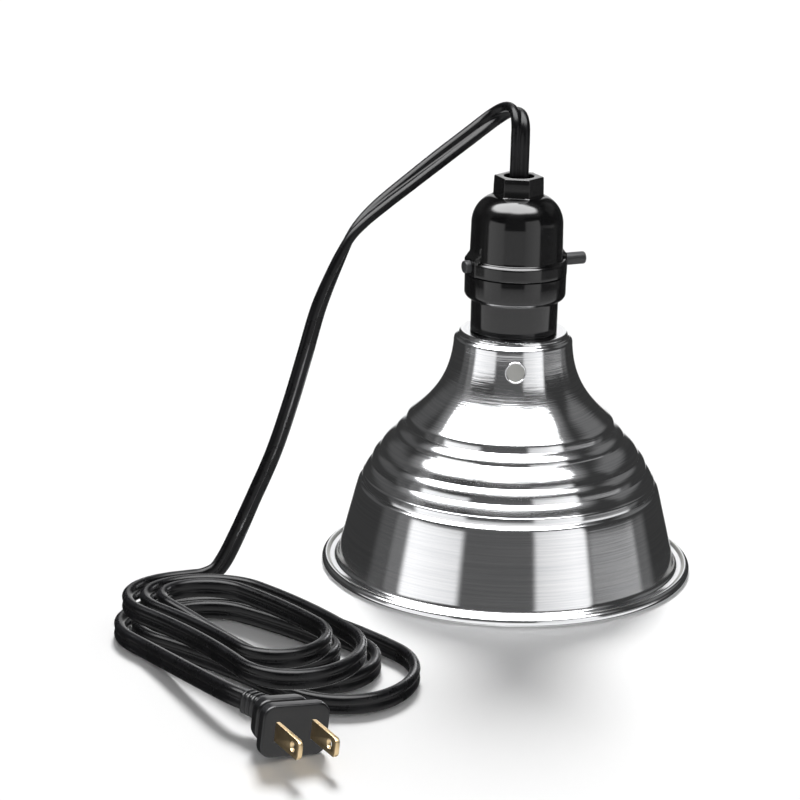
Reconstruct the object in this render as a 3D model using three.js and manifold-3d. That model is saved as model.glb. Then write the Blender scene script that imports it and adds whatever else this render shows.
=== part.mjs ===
// Heat lamp fixture: a spun aluminium reflector on a push-through lampholder,
// with a flat twin cord that ends in a two-blade plug.
// Millimetres, +Z up. The origin is the centre of the reflector's rim,
// on the surface that the rim stands on. The camera side of the lamp is -Y.

import * as THREE from 'three';
import { mergeVertices } from 'three/addons/utils/BufferGeometryUtils.js';
import Module from 'manifold-3d';

const wasm = await Module();
wasm.setup();

// Driving dimensions

const CLEARANCE = 0.3; // between pieces that seat on each other
const OVERRUN = 2; // how far a cutting shape runs past what it cuts

const reflector = {
  wall: 0.8,
  beadRadius: 1.7, // rolled edge
  restWidth: 1.2, // flat under the rolled edge
  flangeHeight: 2.6, // top of the flat flange above the surface
  // From the mouth outwards, how far each stretch reaches:
  lipWidth: 4.8,
  grooveStep: 0.5,
  neckStep: 1.4,
  flareSpread: 15.9,
  shoulderSpread: 1.4,
  ringsSpread: 17.8,
  skirtSpread: 6.4,
  filletWidth: 1.9,
  flangeWidth: 4.4,
  // From the skirt's foot upwards, how high each stretch is:
  skirtFootHeight: 5,
  skirtHeight: 25.3,
  ringsHeight: 24.9,
  shoulderHeight: 3.4,
  flareHeight: 29.9,
  grooveRise: 1.6,
  lipRise: 1.9,
  lipRound: 0.7,
  ventDiameter: 7.3,
  ventDrop: 7, // of its centre below the neck's top
  ventAzimuth: -86.5, // degrees from +X
};

// Notches between the spun rings, from the first to the last, as shares of the ringed zone:
// how far out and how far down each one lies.
const notchOutShares = [0, 0.163, 0.444, 0.573, 0.73, 0.826, 0.9, 1];
const notchDownShares = [0, 0.12, 0.313, 0.454, 0.643, 0.755, 0.904, 1];
const ringBulgeOutShare = 0.9; // control point of a ring, as a share of its step out
const ringBulgeDownShare = 0.32; // and of its step down

// Handles of the curve from the neck to the flare's foot, as shares of the drop and of the spread.
const neckHandleOutShare = 0.05;
const neckHandleDownShare = 0.42;
const flareHandleOutShare = 0.32;
const flareHandleDownShare = 0.695;

const thread = {
  pitch: 3.63, // medium screw base, seven threads to the inch
  crestRadius: 13.3,
  depth: 1,
  wall: 0.45,
  room: 0.45, // round the crests
};

const body = {
  tailWall: 1.45,
  tailDepth: 8, // of its foot below the reflector's lip
  shellInset: 1.3, // of the screw shell's mouth above the tail's foot
  skirtStep: 1.05, // skirt beyond the tail
  skirtHeight: 14.6,
  bandWall: 3.6,
  bandHeight: 7.1, // up to the seam
  bandRound: 2.6,
};

const base = {
  thickness: 4,
  ledgeWidth: 1.25, // that it rests on
};

const cap = {
  overhang: 0.15, // of its band beyond the body's
  bandHeight: 5.6, // above the seam
  bandBevel: 0.7,
  sideHeight: 12.9, // straight side above the band
  domeRise: 10.9,
  crownInset: 2, // of the flat crown inside the neck's corners
  wall: 2.3,
  neckWall: 3.9, // from the cord hole to the corners of the hexagon
  neckDraft: 0.25,
  neckHeight: 6.9,
  neckTurn: 25, // degrees
  cordHoleRadius: 5.5,
  postWall: 1.4, // round an assembly screw
  bossWall: 1.65, // beside the rod
  bossStand: 0.15, // of a boss's face beyond the band
  bossTopRise: 5.3, // above the rod's axis
  bossFaceRise: 2.9,
  bossFootDrop: 2.1, // below the rod's axis
};

const fixing = {
  radius: 1.3,
  headLip: 0.6, // of the head beyond the shank
  headHeight: 1.6,
  grip: 12, // how far a screw runs into its post
};

const rod = {
  azimuth: 27, // degrees from +X
  radius: 2.35,
  length: 50,
  travel: 7,
  chamfer: 0.35,
};

const carriage = {
  floor: 1.85, // under the rod
  side: 0.85,
  roof: 1.05,
};

const contact = {
  thickness: 0.6,
  width: 3.2,
  bridgeLength: 9,
  feedReach: 1.2, // end of the feed strip, along the rod
  lampStart: 2.2, // start of the lamp strip, along the rod
  lampLength: 6.3,
  rivetAlong: 3.4,
  rivetAcross: -3.1,
  rivetRadius: 0.8,
  rivetHeadRadius: 1.1,
  rivetHeadHeight: 0.5,
  tongueDrop: 4.2, // of the lamp's centre contact below its root
  tongueReach: 1.6, // of its tip past the axis
  tongueWidth: 3,
};

const terminal = {
  along: -8.2, // places of both terminals, along and across the rod
  across: 8,
  padWidth: 4.4,
  screwRadius: 1.2,
  headRadius: 2.3,
  headHeight: 1.5,
  wireRoom: 1.5, // between plate and head
};

const ring = {
  wall: 3.1,
  height: 4.5,
  slotWidth: 3,
  slotDepth: 1.1,
};
const ringSlots = 8;

const lead = {
  radius: 1.35,
  spacing: 3.5, // between the two conductors where the cord splits
};

const cord = {
  width: 7,
  thickness: 3.6,
  splitDepth: 4.4, // of where the conductors part, below the dome's top
};

// Loops of the cord, lying on edge in two layers. It winds inwards in the upper layer
// and outwards in the lower one. Reaches are from the pile's centre to the middle of the cord.
const pile = {
  centre: [-78, -113.5],
  azimuth: -40, // long axis, degrees from +X
  innerRight: 13,
  innerLeft: 49,
  innerHalfWidth: 13,
  growRight: 18.5, // wider by so much each turn
  growLeft: 5,
  growHalfWidth: 6.3,
  bow: 6, // of the long sides
  bowReach: 50, // where the bow comes back to the long axis
  surfaceGap: 0.1,
  layerGap: 0.55,
  upperShift: [-7, -1],
};
const upperTurn = -11; // degrees that the upper layer lies askew of the lower
const runShare = 1 / 6; // of a turn, along each long side
const landingShare = 7.25 / 24; // of a turn, where the cord lands on the pile
const pileTurns = 5 + 4 / 24;
const reversalTurn = 2 + 6.75 / 24; // where the winding turns outwards again
const climbTurns = 0.24; // in which it changes layer
const reversalEaseShare = 0.05; // of a turn

const plug = {
  faceCentre: [-63.4, -192],
  azimuth: -59.5, // way the blades point, degrees from +X
  roll: 6, // about the blades' way, degrees
  faceWidth: 23.2,
  faceHeight: 17.4,
  faceCorner: 4,
  flangeDepth: 4,
  edgeRound: 0.8,
  waistWidth: 14.5,
  waistHeight: 10.5,
  waistDepth: 5,
  backWidth: 19,
  backHeight: 14.6,
  backDepth: 5,
  backCorner: 4.6,
  reliefSwing: 21.5, // aside from straight back, degrees
  reliefRootWidth: 9.5,
  reliefRootHeight: 8.6,
  reliefTipWidth: 6.6,
  reliefTipHeight: 7.8,
  reliefBend: 3,
  ribPitch: 2.2,
  ribDepth: 0.6,
};
const ribCount = 5;

// One rib of the strain relief: places along its pitch, and how deep each lies in shares of the rib's depth.
const ribShares = [[0.25, 1], [0.5, 1], [0.75, 0], [1, 0]];

const blade = {
  width: 6.35,
  thickness: 1.5,
  length: 16.5,
  seatDepth: 3,
  spacing: 12.7,
  holeRadius: 1.6,
  holeFromTip: 4.2,
  chamfer: 1.2,
};

// The free stretch from the lampholder down to the pile, as points chosen along it and the way
// that the cord's flat side faces at each.
const dropStops = [
  [[0, 0, 146], [0, -1, 0]],
  [[0, 0, 152], [0, -1, 0]],
  [[0, 0, 158.5], [0, -1, 0]],
  [[0, 0, 164.3], [0, -1, 0.13]],
  [[-0.1, 1.3, 168.9], [0.26, -0.82, 0.51]],
  [[-0.9, 4.7, 172.2], [0.42, -0.34, 0.84]],
  [[-2.8, 8.9, 173.3], [0.43, 0.26, 0.86]],
  [[-5.7, 12.5, 172.3], [0.3, 0.76, 0.58]],
  [[-9.4, 14.2, 169.7], [0.04, 1, 0.08]],
  [[-13.2, 13.2, 166.9], [-0.17, 0.9, -0.41]],
  [[-17.6, 9.8, 163.8], [-0.24, 0.79, -0.56]],
  [[-28.9, 0.7, 156], [-0.16, 0.76, -0.63]],
  [[-40, -8.2, 148.1], [0.03, 0.65, -0.76]],
  [[-49.7, -15.9, 141], [0.24, 0.52, -0.82]],
  [[-56, -20.9, 135.5], [0.58, 0.26, -0.77]],
  [[-60, -24.2, 130.6], [0.84, 0, -0.54]],
  [[-63, -26.5, 124.7], [0.91, -0.23, -0.34]],
  [[-66.6, -29.4, 116.4], [0.88, -0.43, -0.22]],
  [[-70.6, -32.6, 105.8], [0.8, -0.59, -0.1]],
  [[-75.1, -36.2, 88.7], [0.75, -0.66, -0.06]],
  [[-79.8, -40, 71.5], [0.74, -0.67, -0.06]],
  [[-85.2, -44.3, 54.4], [0.74, -0.67, -0.08]],
  [[-92.2, -49.8, 37.6], [0.74, -0.67, -0.09]],
  [[-97.4, -54, 25.4], [0.67, -0.75, -0.02]],
  [[-101.6, -57.6, 16.9], [0.62, -0.79, -0.04]],
  [[-104.6, -59.3, 13.1], [0.56, -0.8, -0.23]],
];
const dropStepsPerSpan = 2;

// Counts that set how finely round shapes are cut
const ROUND = 44;
const SMALL_ROUND = 16;
const TINY_ROUND = 10;
const THREAD_ROUND = 26;
const THREAD_ROWS_PER_PITCH = 4;
const LOOP_STEPS = 24;

const degrees = THREE.MathUtils.degToRad;

// Radii and heights that follow from the driving dimensions

const boreRadius = thread.crestRadius + thread.room;
const tailRadius = boreRadius + body.tailWall;
const skirtRadius = tailRadius + body.skirtStep;
const baseRadius = boreRadius + base.ledgeWidth;
const chamberRadius = baseRadius + CLEARANCE;
const bandRadius = chamberRadius + body.bandWall;
const mouthRadius = tailRadius + CLEARANCE;

function summed(start, steps) {
  let total = start;
  return steps.map((step) => {
    total += step;
    return total;
  });
}

const [lipRadius, grooveRadius, neckRadius] = summed(mouthRadius, [
  reflector.lipWidth, reflector.grooveStep, reflector.neckStep,
]);
const [flareFootRadius, ringTopRadius, ringFootRadius] = summed(neckRadius, [
  reflector.flareSpread, reflector.shoulderSpread, reflector.ringsSpread,
]);
const [skirtFootRadius, flangeRadius, rimRadius] = summed(ringFootRadius, [
  reflector.skirtSpread, reflector.filletWidth, reflector.flangeWidth,
]);
const [ringFootHeight, ringTopHeight, flareFootHeight] = summed(reflector.skirtFootHeight, [
  reflector.skirtHeight, reflector.ringsHeight, reflector.shoulderHeight,
]);
const [neckHeight, grooveHeight, lipHeight] = summed(flareFootHeight, [
  reflector.flareHeight, reflector.grooveRise, reflector.lipRise,
]);

const tailFootHeight = lipHeight - body.tailDepth;
const shellMouthHeight = tailFootHeight + body.shellInset;
const skirtFootHeight = lipHeight + CLEARANCE;
const bandFootHeight = skirtFootHeight + body.skirtHeight;
const ledgeHeight = bandFootHeight - CLEARANCE;
const shellTopHeight = ledgeHeight;
const shellFlangeFoot = shellTopHeight - thread.wall;
const baseFootHeight = shellTopHeight + CLEARANCE;
const baseTopHeight = baseFootHeight + base.thickness;
const seamHeight = bandFootHeight + body.bandHeight;
const bodyTopHeight = seamHeight - CLEARANCE / 2;

const capFootHeight = seamHeight + CLEARANCE / 2;
const capBandRadius = bandRadius + cap.overhang;
const domeRadius = chamberRadius + cap.wall - CLEARANCE;
const hexRadius = cap.cordHoleRadius + cap.neckWall;
const crownRadius = hexRadius - cap.crownInset;
const [bandTopHeight, shoulderHeight, domeTopHeight, hexTopHeight] = summed(seamHeight, [
  cap.bandHeight, cap.sideHeight, cap.domeRise, cap.neckHeight,
]);
const postFootHeight = baseTopHeight + CLEARANCE;
const postRadius = fixing.radius + CLEARANCE + cap.postWall;
const fixingOffset = cap.cordHoleRadius + postRadius;
const fixingHeadRadius = fixing.radius + fixing.headLip;
const shellHoleRadius = fixingOffset - fixingHeadRadius - CLEARANCE;

const stripHeight = baseTopHeight + CLEARANCE;
const bridgeHeight = stripHeight + contact.thickness + CLEARANCE;
const carriageFoot = bridgeHeight + contact.thickness + CLEARANCE;
const rodRoom = rod.radius + CLEARANCE;
const rodHeight = carriageFoot + carriage.floor + rodRoom;
const rodRest = rod.travel / 2; // middle of the rod from the axis, at rest
const carriageTop = rodHeight + rodRoom + carriage.roof;
const carriageHalfWidth = rodRoom + carriage.side;
const carriageHalfLength =
  Math.sqrt(chamberRadius ** 2 - carriageHalfWidth ** 2) - rodRest - CLEARANCE;
const bossReach = capBandRadius + cap.bossStand;
const screwHeadHeight = stripHeight + contact.thickness + terminal.wireRoom;
const splitHeight = domeTopHeight - cord.splitDepth;

// Materials

function material(color, roughness, metalness) {
  return new THREE.MeshStandardMaterial({ color, roughness, metalness });
}

const phenolic = material(0x141416, 0.18, 0);
const spunAluminium = material(0xd2d3d6, 0.2, 1);
const rodPlastic = material(0x3a3b3e, 0.5, 0);
const fibre = material(0x2a2724, 0.8, 0);
const brass = material(0xc79a4b, 0.28, 1);
const steel = material(0xa9abb0, 0.35, 1);
const cordVinyl = material(0x17181a, 0.38, 0);
const plugVinyl = material(0x232427, 0.5, 0);
const whiteVinyl = material(0xd8d8d2, 0.5, 0);

// Closed solids

// Geometry to a closed solid: shared vertices merged, collapsed triangles dropped, faces pointing out.
function solid(geometry) {
  const plain = geometry.index ? geometry.toNonIndexed() : geometry.clone();
  plain.deleteAttribute('normal');
  plain.deleteAttribute('uv');
  const merged = mergeVertices(plain, 1e-4);
  const places = merged.attributes.position;
  const triangles = [];
  const a = new THREE.Vector3();
  const b = new THREE.Vector3();
  const c = new THREE.Vector3();
  let volume = 0;
  for (let i = 0; i < merged.index.count; i += 3) {
    const [p, q, r] = [0, 1, 2].map((k) => merged.index.getX(i + k));
    if (p === q || q === r || r === p) continue;
    triangles.push(p, q, r);
    a.fromBufferAttribute(places, p);
    b.fromBufferAttribute(places, q);
    c.fromBufferAttribute(places, r);
    volume += a.dot(b.cross(c));
  }
  if (volume < 0) triangles.reverse();
  return new wasm.Manifold(
    new wasm.Mesh({
      numProp: 3,
      vertProperties: new Float32Array(places.array),
      triVerts: new Uint32Array(triangles),
    }),
  );
}

function toGeometry(manifold) {
  const mesh = manifold.getMesh();
  const geometry = new THREE.BufferGeometry();
  geometry.setAttribute('position', new THREE.BufferAttribute(new Float32Array(mesh.vertProperties), 3));
  geometry.setIndex(new THREE.BufferAttribute(new Uint32Array(mesh.triVerts), 1));
  geometry.computeVertexNormals();
  return geometry;
}

function piece(name, manifold, finish) {
  const mesh = new THREE.Mesh(toGeometry(manifold), finish);
  mesh.name = name;
  return mesh;
}

// A closed outline of [radius, height] pairs, turned about the Z axis.
function turned(outline, segments = ROUND) {
  const closed = [...outline, outline[0]].map(([radius, height]) => new THREE.Vector2(radius, height));
  return solid(new THREE.LatheGeometry(closed, segments).rotateX(Math.PI / 2));
}

function disc(radius, foot, top, segments = SMALL_ROUND) {
  return turned([[0, foot], [radius, foot], [radius, top], [0, top]], segments);
}

function block(width, depth, height, x, y, z) {
  return solid(new THREE.BoxGeometry(width, depth, height).translate(x, y, z));
}

// A flat outline of [x, y] pairs raised from one height to another.
function raised(outline, foot, top) {
  const shape = new THREE.Shape(outline.map(([x, y]) => new THREE.Vector2(x, y)));
  const geometry = new THREE.ExtrudeGeometry(shape, { depth: top - foot, bevelEnabled: false });
  return solid(geometry.translate(0, 0, foot));
}

// An outline of [x, z] pairs, extruded across y about the middle.
function acrossOutline(outline, width) {
  const shape = new THREE.Shape(outline.map(([x, z]) => new THREE.Vector2(x, z)));
  const geometry = new THREE.ExtrudeGeometry(shape, { depth: width, bevelEnabled: false });
  return solid(geometry.translate(0, 0, -width / 2).rotateX(Math.PI / 2));
}

// Rings of points, one after the other, skinned and closed with a face at each end.
function loftedSolid(places, sides, rings) {
  const index = [];
  for (let i = 0; i + 1 < rings; i += 1) {
    for (let k = 0; k < sides; k += 1) {
      const next = (k + 1) % sides;
      const [a, b] = [i * sides + k, i * sides + next];
      index.push(a, b, a + sides, b, b + sides, a + sides);
    }
  }
  const last = (rings - 1) * sides;
  for (let k = 1; k + 1 < sides; k += 1) {
    index.push(0, k + 1, k, last, last + k, last + k + 1);
  }
  const geometry = new THREE.BufferGeometry();
  geometry.setAttribute('position', new THREE.Float32BufferAttribute(places, 3));
  geometry.setIndex(index);
  return solid(geometry);
}

function rectangle(left, right, near, far) {
  return [[left, near], [right, near], [right, far], [left, far]];
}

function arc(centreX, centreY, radiusX, radiusY, from, to, steps) {
  const points = [];
  for (let i = 0; i <= steps; i += 1) {
    const angle = degrees(from + ((to - from) * i) / steps);
    points.push([centreX + radiusX * Math.cos(angle), centreY + radiusY * Math.sin(angle)]);
  }
  return points;
}

function turnedAbout(manifold, azimuth) {
  return manifold.rotate([0, 0, azimuth]);
}

// Reflector

function flareLine(steps) {
  const spread = reflector.flareSpread;
  const drop = reflector.flareHeight;
  const curve = new THREE.CubicBezierCurve(
    new THREE.Vector2(neckRadius, neckHeight),
    new THREE.Vector2(neckRadius + neckHandleOutShare * spread, neckHeight - neckHandleDownShare * drop),
    new THREE.Vector2(neckRadius + flareHandleOutShare * spread, neckHeight - flareHandleDownShare * drop),
    new THREE.Vector2(flareFootRadius, flareFootHeight),
  );
  return curve.getPoints(steps).map((point) => [point.x, point.y]);
}

function ringLine(steps) {
  const notches = notchOutShares.map((share, i) => [
    ringTopRadius + share * reflector.ringsSpread,
    ringTopHeight - notchDownShares[i] * reflector.ringsHeight,
  ]);
  const points = [notches[0]];
  for (let i = 1; i < notches.length; i += 1) {
    const [fromRadius, fromHeight] = notches[i - 1];
    const [toRadius, toHeight] = notches[i];
    const curve = new THREE.QuadraticBezierCurve(
      new THREE.Vector2(fromRadius, fromHeight),
      new THREE.Vector2(
        fromRadius + ringBulgeOutShare * (toRadius - fromRadius),
        fromHeight + ringBulgeDownShare * (toHeight - fromHeight),
      ),
      new THREE.Vector2(toRadius, toHeight),
    );
    const sampled = curve.getPoints(steps).slice(1);
    points.push(...sampled.map((point) => [point.x, point.y]));
  }
  return points;
}

// The same line moved to the inner face of the sheet.
function innerFace(line, wall) {
  return line.map(([radius, height], i) => {
    const before = line[Math.max(i - 1, 0)];
    const after = line[Math.min(i + 1, line.length - 1)];
    const along = new THREE.Vector2(after[0] - before[0], after[1] - before[1]).normalize();
    return [radius + along.y * wall, height - along.x * wall];
  });
}

function rollLine() {
  const r = reflector;
  const centreRadius = rimRadius - r.beadRadius;
  const centreHeight = Math.sqrt(r.beadRadius ** 2 - (r.restWidth / 2) ** 2);
  const restAngle = THREE.MathUtils.radToDeg(Math.acos(r.restWidth / 2 / r.beadRadius));
  const topAngle = 180 - THREE.MathUtils.radToDeg(Math.asin((r.flangeHeight - centreHeight) / r.beadRadius));
  const outside = arc(centreRadius, centreHeight, r.beadRadius, r.beadRadius, topAngle, -restAngle, 6);
  const inside = arc(centreRadius, centreHeight, r.beadRadius, r.beadRadius, restAngle - 180, -180, 2);
  return [...outside, ...inside];
}

function reflectorOutline() {
  const r = reflector;
  const lip = [
    [mouthRadius, lipHeight],
    [lipRadius - r.lipRound, lipHeight],
    [lipRadius, lipHeight - r.lipRound],
    [lipRadius, grooveHeight + r.lipRound],
    [grooveRadius, grooveHeight],
    [neckRadius - r.lipRound, grooveHeight - r.lipRound / 2],
  ];
  const foot = [
    [skirtFootRadius, r.skirtFootHeight],
    [skirtFootRadius + r.lipRound, r.flangeHeight + r.lipRound],
    [flangeRadius, r.flangeHeight],
  ];
  const outside = [...lip, ...flareLine(7), ...ringLine(2), ...foot];
  const insideLine = [...flareLine(6).slice(1), ...ringLine(2), ...foot];
  const inside = [
    [mouthRadius, lipHeight - r.wall],
    [lipRadius - r.wall, lipHeight - r.wall],
    [neckRadius - r.wall, neckHeight - r.wall],
    ...innerFace(insideLine, r.wall),
  ];
  return [...outside, ...rollLine(), ...inside.reverse()];
}

function makeReflector() {
  const r = reflector;
  let sheet = turned(reflectorOutline());
  for (const side of [0, 180]) {
    const punch = new THREE.CylinderGeometry(r.ventDiameter / 2, r.ventDiameter / 2, rimRadius, SMALL_ROUND);
    punch.rotateZ(-Math.PI / 2).translate(rimRadius / 2, 0, neckHeight - r.ventDrop);
    sheet = sheet.subtract(turnedAbout(solid(punch), r.ventAzimuth + side));
  }
  return piece('reflector', sheet, spunAluminium);
}

// Lampholder shells

function makeBody() {
  const chamfer = arc(
    bandRadius - body.bandRound, bandFootHeight, body.bandRound, body.bandRound, 0, -90, 4,
  );
  const outline = [
    [boreRadius, tailFootHeight],
    [tailRadius, tailFootHeight],
    [tailRadius, skirtFootHeight],
    [skirtRadius, skirtFootHeight],
    [skirtRadius, chamfer.at(-1)[1]],
    ...chamfer.reverse(),
    [bandRadius, bodyTopHeight],
    [chamberRadius, bodyTopHeight],
    [chamberRadius, ledgeHeight],
    [boreRadius, ledgeHeight],
  ];
  return piece('socket_body', turned(outline), phenolic);
}

function domeLine(inset, steps) {
  return arc(
    crownRadius, shoulderHeight,
    domeRadius - crownRadius - inset, domeTopHeight - shoulderHeight - inset,
    0, 90, steps,
  );
}

function capNeck() {
  const height = hexTopHeight - domeTopHeight + cap.wall;
  const prism = new THREE.CylinderGeometry(hexRadius - cap.neckDraft, hexRadius, height, 6);
  prism.rotateX(Math.PI / 2).translate(0, 0, hexTopHeight - height / 2);
  prism.rotateZ(degrees(cap.neckTurn));
  return solid(prism);
}

function capBoss() {
  const root = chamberRadius;
  const outline = [
    [root, capFootHeight],
    [capBandRadius, capFootHeight],
    [bossReach, rodHeight - cap.bossFootDrop],
    [bossReach, rodHeight + cap.bossFaceRise],
    [domeRadius, rodHeight + cap.bossTopRise],
    [root, rodHeight + cap.bossTopRise],
  ];
  return acrossOutline(outline, 2 * (rodRoom + cap.bossWall));
}

function rodChannel() {
  const reach = bossReach + OVERRUN;
  const round = new THREE.CylinderGeometry(rodRoom, rodRoom, 2 * reach, SMALL_ROUND);
  round.rotateZ(Math.PI / 2).translate(0, 0, rodHeight);
  const depth = rodHeight - capFootHeight + OVERRUN;
  const slot = block(2 * reach, 2 * rodRoom, depth, 0, 0, rodHeight - depth / 2);
  return solid(round).add(slot);
}

function makeCap() {
  const outside = turned([
    [0, capFootHeight],
    [capBandRadius, capFootHeight],
    [capBandRadius, bandTopHeight - cap.bandBevel],
    [capBandRadius - cap.bandBevel, bandTopHeight],
    [domeRadius, bandTopHeight],
    ...domeLine(0, 8),
    [0, domeTopHeight],
  ]);
  const cavity = turned([
    [0, capFootHeight - OVERRUN],
    [chamberRadius, capFootHeight - OVERRUN],
    [chamberRadius, bandTopHeight - cap.wall],
    ...domeLine(cap.wall, 5),
    [0, domeTopHeight - cap.wall],
  ]);
  const bosses = [0, 180].map((side) => turnedAbout(capBoss(), side));
  const insideShell = turned([
    [0, postFootHeight],
    [chamberRadius, postFootHeight],
    ...domeLine(cap.wall / 2, 5),
    [0, domeTopHeight - cap.wall / 2],
  ]);
  const posts = [-1, 1].map((side) =>
    disc(postRadius, postFootHeight, domeTopHeight, SMALL_ROUND)
      .translate([0, side * fixingOffset, 0])
      .intersect(insideShell),
  );
  const screwHoles = [-1, 1].map((side) =>
    disc(fixing.radius + CLEARANCE, postFootHeight - OVERRUN, postFootHeight + fixing.grip + CLEARANCE, TINY_ROUND)
      .translate([0, side * fixingOffset, 0]),
  );
  let shellSolid = outside.add(bosses[0]).add(bosses[1]).subtract(cavity);
  for (const post of posts) shellSolid = shellSolid.add(post);
  for (const hole of screwHoles) shellSolid = shellSolid.subtract(hole);
  shellSolid = turnedAbout(shellSolid.subtract(rodChannel()), rod.azimuth);
  const cordHole = disc(cap.cordHoleRadius, shoulderHeight, hexTopHeight + OVERRUN, SMALL_ROUND);
  return piece('socket_cap', shellSolid.add(capNeck()).subtract(cordHole), phenolic);
}

// Everything inside the lampholder, in the rod's frame: x along the rod, y across it

function makeScrewShell() {
  const rows = Math.round(((shellTopHeight - shellMouthHeight) / thread.pitch) * THREAD_ROWS_PER_PITCH);
  const meanRadius = thread.crestRadius - thread.depth / 2;
  const grid = [];
  for (const inset of [0, thread.wall]) {
    for (let row = 0; row <= rows; row += 1) {
      const height = shellMouthHeight + ((shellTopHeight - shellMouthHeight) * row) / rows;
      const foot = inset ? Math.min(height, shellFlangeFoot) : height;
      for (let i = 0; i < THREAD_ROUND; i += 1) {
        const angle = (2 * Math.PI * i) / THREAD_ROUND;
        const wave = Math.cos((2 * Math.PI * height) / thread.pitch - angle);
        const radius = meanRadius + (thread.depth / 2) * wave - inset;
        grid.push(radius * Math.cos(angle), radius * Math.sin(angle), foot);
      }
    }
  }
  const hub = [];
  for (const height of [shellTopHeight, shellFlangeFoot]) {
    for (let i = 0; i < THREAD_ROUND; i += 1) {
      const angle = (2 * Math.PI * i) / THREAD_ROUND;
      hub.push(shellHoleRadius * Math.cos(angle), shellHoleRadius * Math.sin(angle), height);
    }
  }
  const rings = 2 * (rows + 1);
  const order = [...Array(rows + 1).keys(), rings, rings + 1];
  for (let row = rows; row >= 0; row -= 1) order.push(rows + 1 + row);
  const index = [];
  order.forEach((ringA, k) => {
    const ringB = order[(k + 1) % order.length];
    for (let i = 0; i < THREAD_ROUND; i += 1) {
      const next = (i + 1) % THREAD_ROUND;
      const [a, b] = [ringA * THREAD_ROUND + i, ringA * THREAD_ROUND + next];
      const [c, d] = [ringB * THREAD_ROUND + i, ringB * THREAD_ROUND + next];
      index.push(a, b, c, b, d, c);
    }
  });
  const geometry = new THREE.BufferGeometry();
  geometry.setAttribute('position', new THREE.Float32BufferAttribute([...grid, ...hub], 3));
  geometry.setIndex(index);
  let tube = solid(geometry);
  for (const side of [-1, 1]) {
    tube = tube.subtract(
      disc(fixing.radius + CLEARANCE, shellFlangeFoot - OVERRUN, shellTopHeight + OVERRUN, TINY_ROUND)
        .translate([0, side * fixingOffset, 0]),
    );
  }
  return piece('screw_shell', tube, brass);
}

function makeBase() {
  let plate = disc(baseRadius, baseFootHeight, baseTopHeight, ROUND);
  const holes = [
    [0, fixingOffset, fixing.radius],
    [0, -fixingOffset, fixing.radius],
    [terminal.along, terminal.across, terminal.screwRadius],
    [terminal.along, -terminal.across, terminal.screwRadius],
    [contact.rivetAlong, contact.rivetAcross, contact.rivetRadius],
  ];
  for (const [x, y, radius] of holes) {
    const drill = disc(radius + CLEARANCE, baseFootHeight - OVERRUN, baseTopHeight + OVERRUN, TINY_ROUND);
    plate = plate.subtract(drill.translate([x, y, 0]));
  }
  return piece('switch_base', plate, fibre);
}

function makeStrip(name, outline, holeX, holeY, holeRadius) {
  const strip = raised(outline, stripHeight, stripHeight + contact.thickness);
  const hole = disc(holeRadius + CLEARANCE, stripHeight - OVERRUN, stripHeight + OVERRUN, TINY_ROUND);
  return piece(name, strip.subtract(hole.translate([holeX, holeY, 0])), brass);
}

function makeStrips() {
  const halfStrip = contact.width / 2;
  const halfPad = terminal.padWidth / 2;
  const feed = [
    [terminal.along - halfPad, -halfStrip],
    [contact.feedReach, -halfStrip],
    [contact.feedReach, halfStrip],
    [terminal.along + halfPad, halfStrip],
    [terminal.along + halfPad, terminal.across + halfPad],
    [terminal.along - halfPad, terminal.across + halfPad],
  ];
  const rivetPad = contact.rivetHeadRadius + CLEARANCE;
  const lampEnd = contact.lampStart + contact.lampLength;
  const lamp = [
    [contact.lampStart - CLEARANCE, contact.rivetAcross - rivetPad],
    [contact.rivetAlong + rivetPad, contact.rivetAcross - rivetPad],
    [contact.rivetAlong + rivetPad, -halfStrip],
    [lampEnd, -halfStrip],
    [lampEnd, halfStrip],
    [contact.lampStart, halfStrip],
  ];
  const neutral = rectangle(
    terminal.along - halfPad, terminal.along + halfPad,
    -terminal.across - halfPad, -terminal.across + halfPad,
  );
  return [
    makeStrip('contact_feed_strip', feed, terminal.along, terminal.across, terminal.screwRadius),
    makeStrip('contact_lamp_strip', lamp, contact.rivetAlong, contact.rivetAcross, contact.rivetRadius),
    makeStrip('terminal_plate_neutral', neutral, terminal.along, -terminal.across, terminal.screwRadius),
  ];
}

function makeTerminalScrew(name, across, finish) {
  const shank = disc(terminal.screwRadius, baseFootHeight, screwHeadHeight + CLEARANCE, TINY_ROUND);
  const head = disc(terminal.headRadius, screwHeadHeight, screwHeadHeight + terminal.headHeight, SMALL_ROUND);
  const slot = block(
    2 * terminal.headRadius + OVERRUN, contact.thickness, terminal.headHeight,
    0, 0, screwHeadHeight + terminal.headHeight,
  );
  const screw = shank.add(head).subtract(slot);
  return piece(name, screw.translate([terminal.along, across, 0]), finish);
}

function makeAssemblyScrew(name, side) {
  const headTop = shellFlangeFoot - CLEARANCE;
  const shank = disc(fixing.radius, headTop - CLEARANCE, postFootHeight + fixing.grip, TINY_ROUND);
  const head = disc(fixingHeadRadius, headTop - fixing.headHeight, headTop, SMALL_ROUND);
  const slot = block(
    2 * fixingHeadRadius + OVERRUN, contact.thickness, fixing.headHeight,
    0, 0, headTop - fixing.headHeight,
  );
  return piece(name, shank.add(head).subtract(slot).translate([0, side * fixingOffset, 0]), steel);
}

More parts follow.
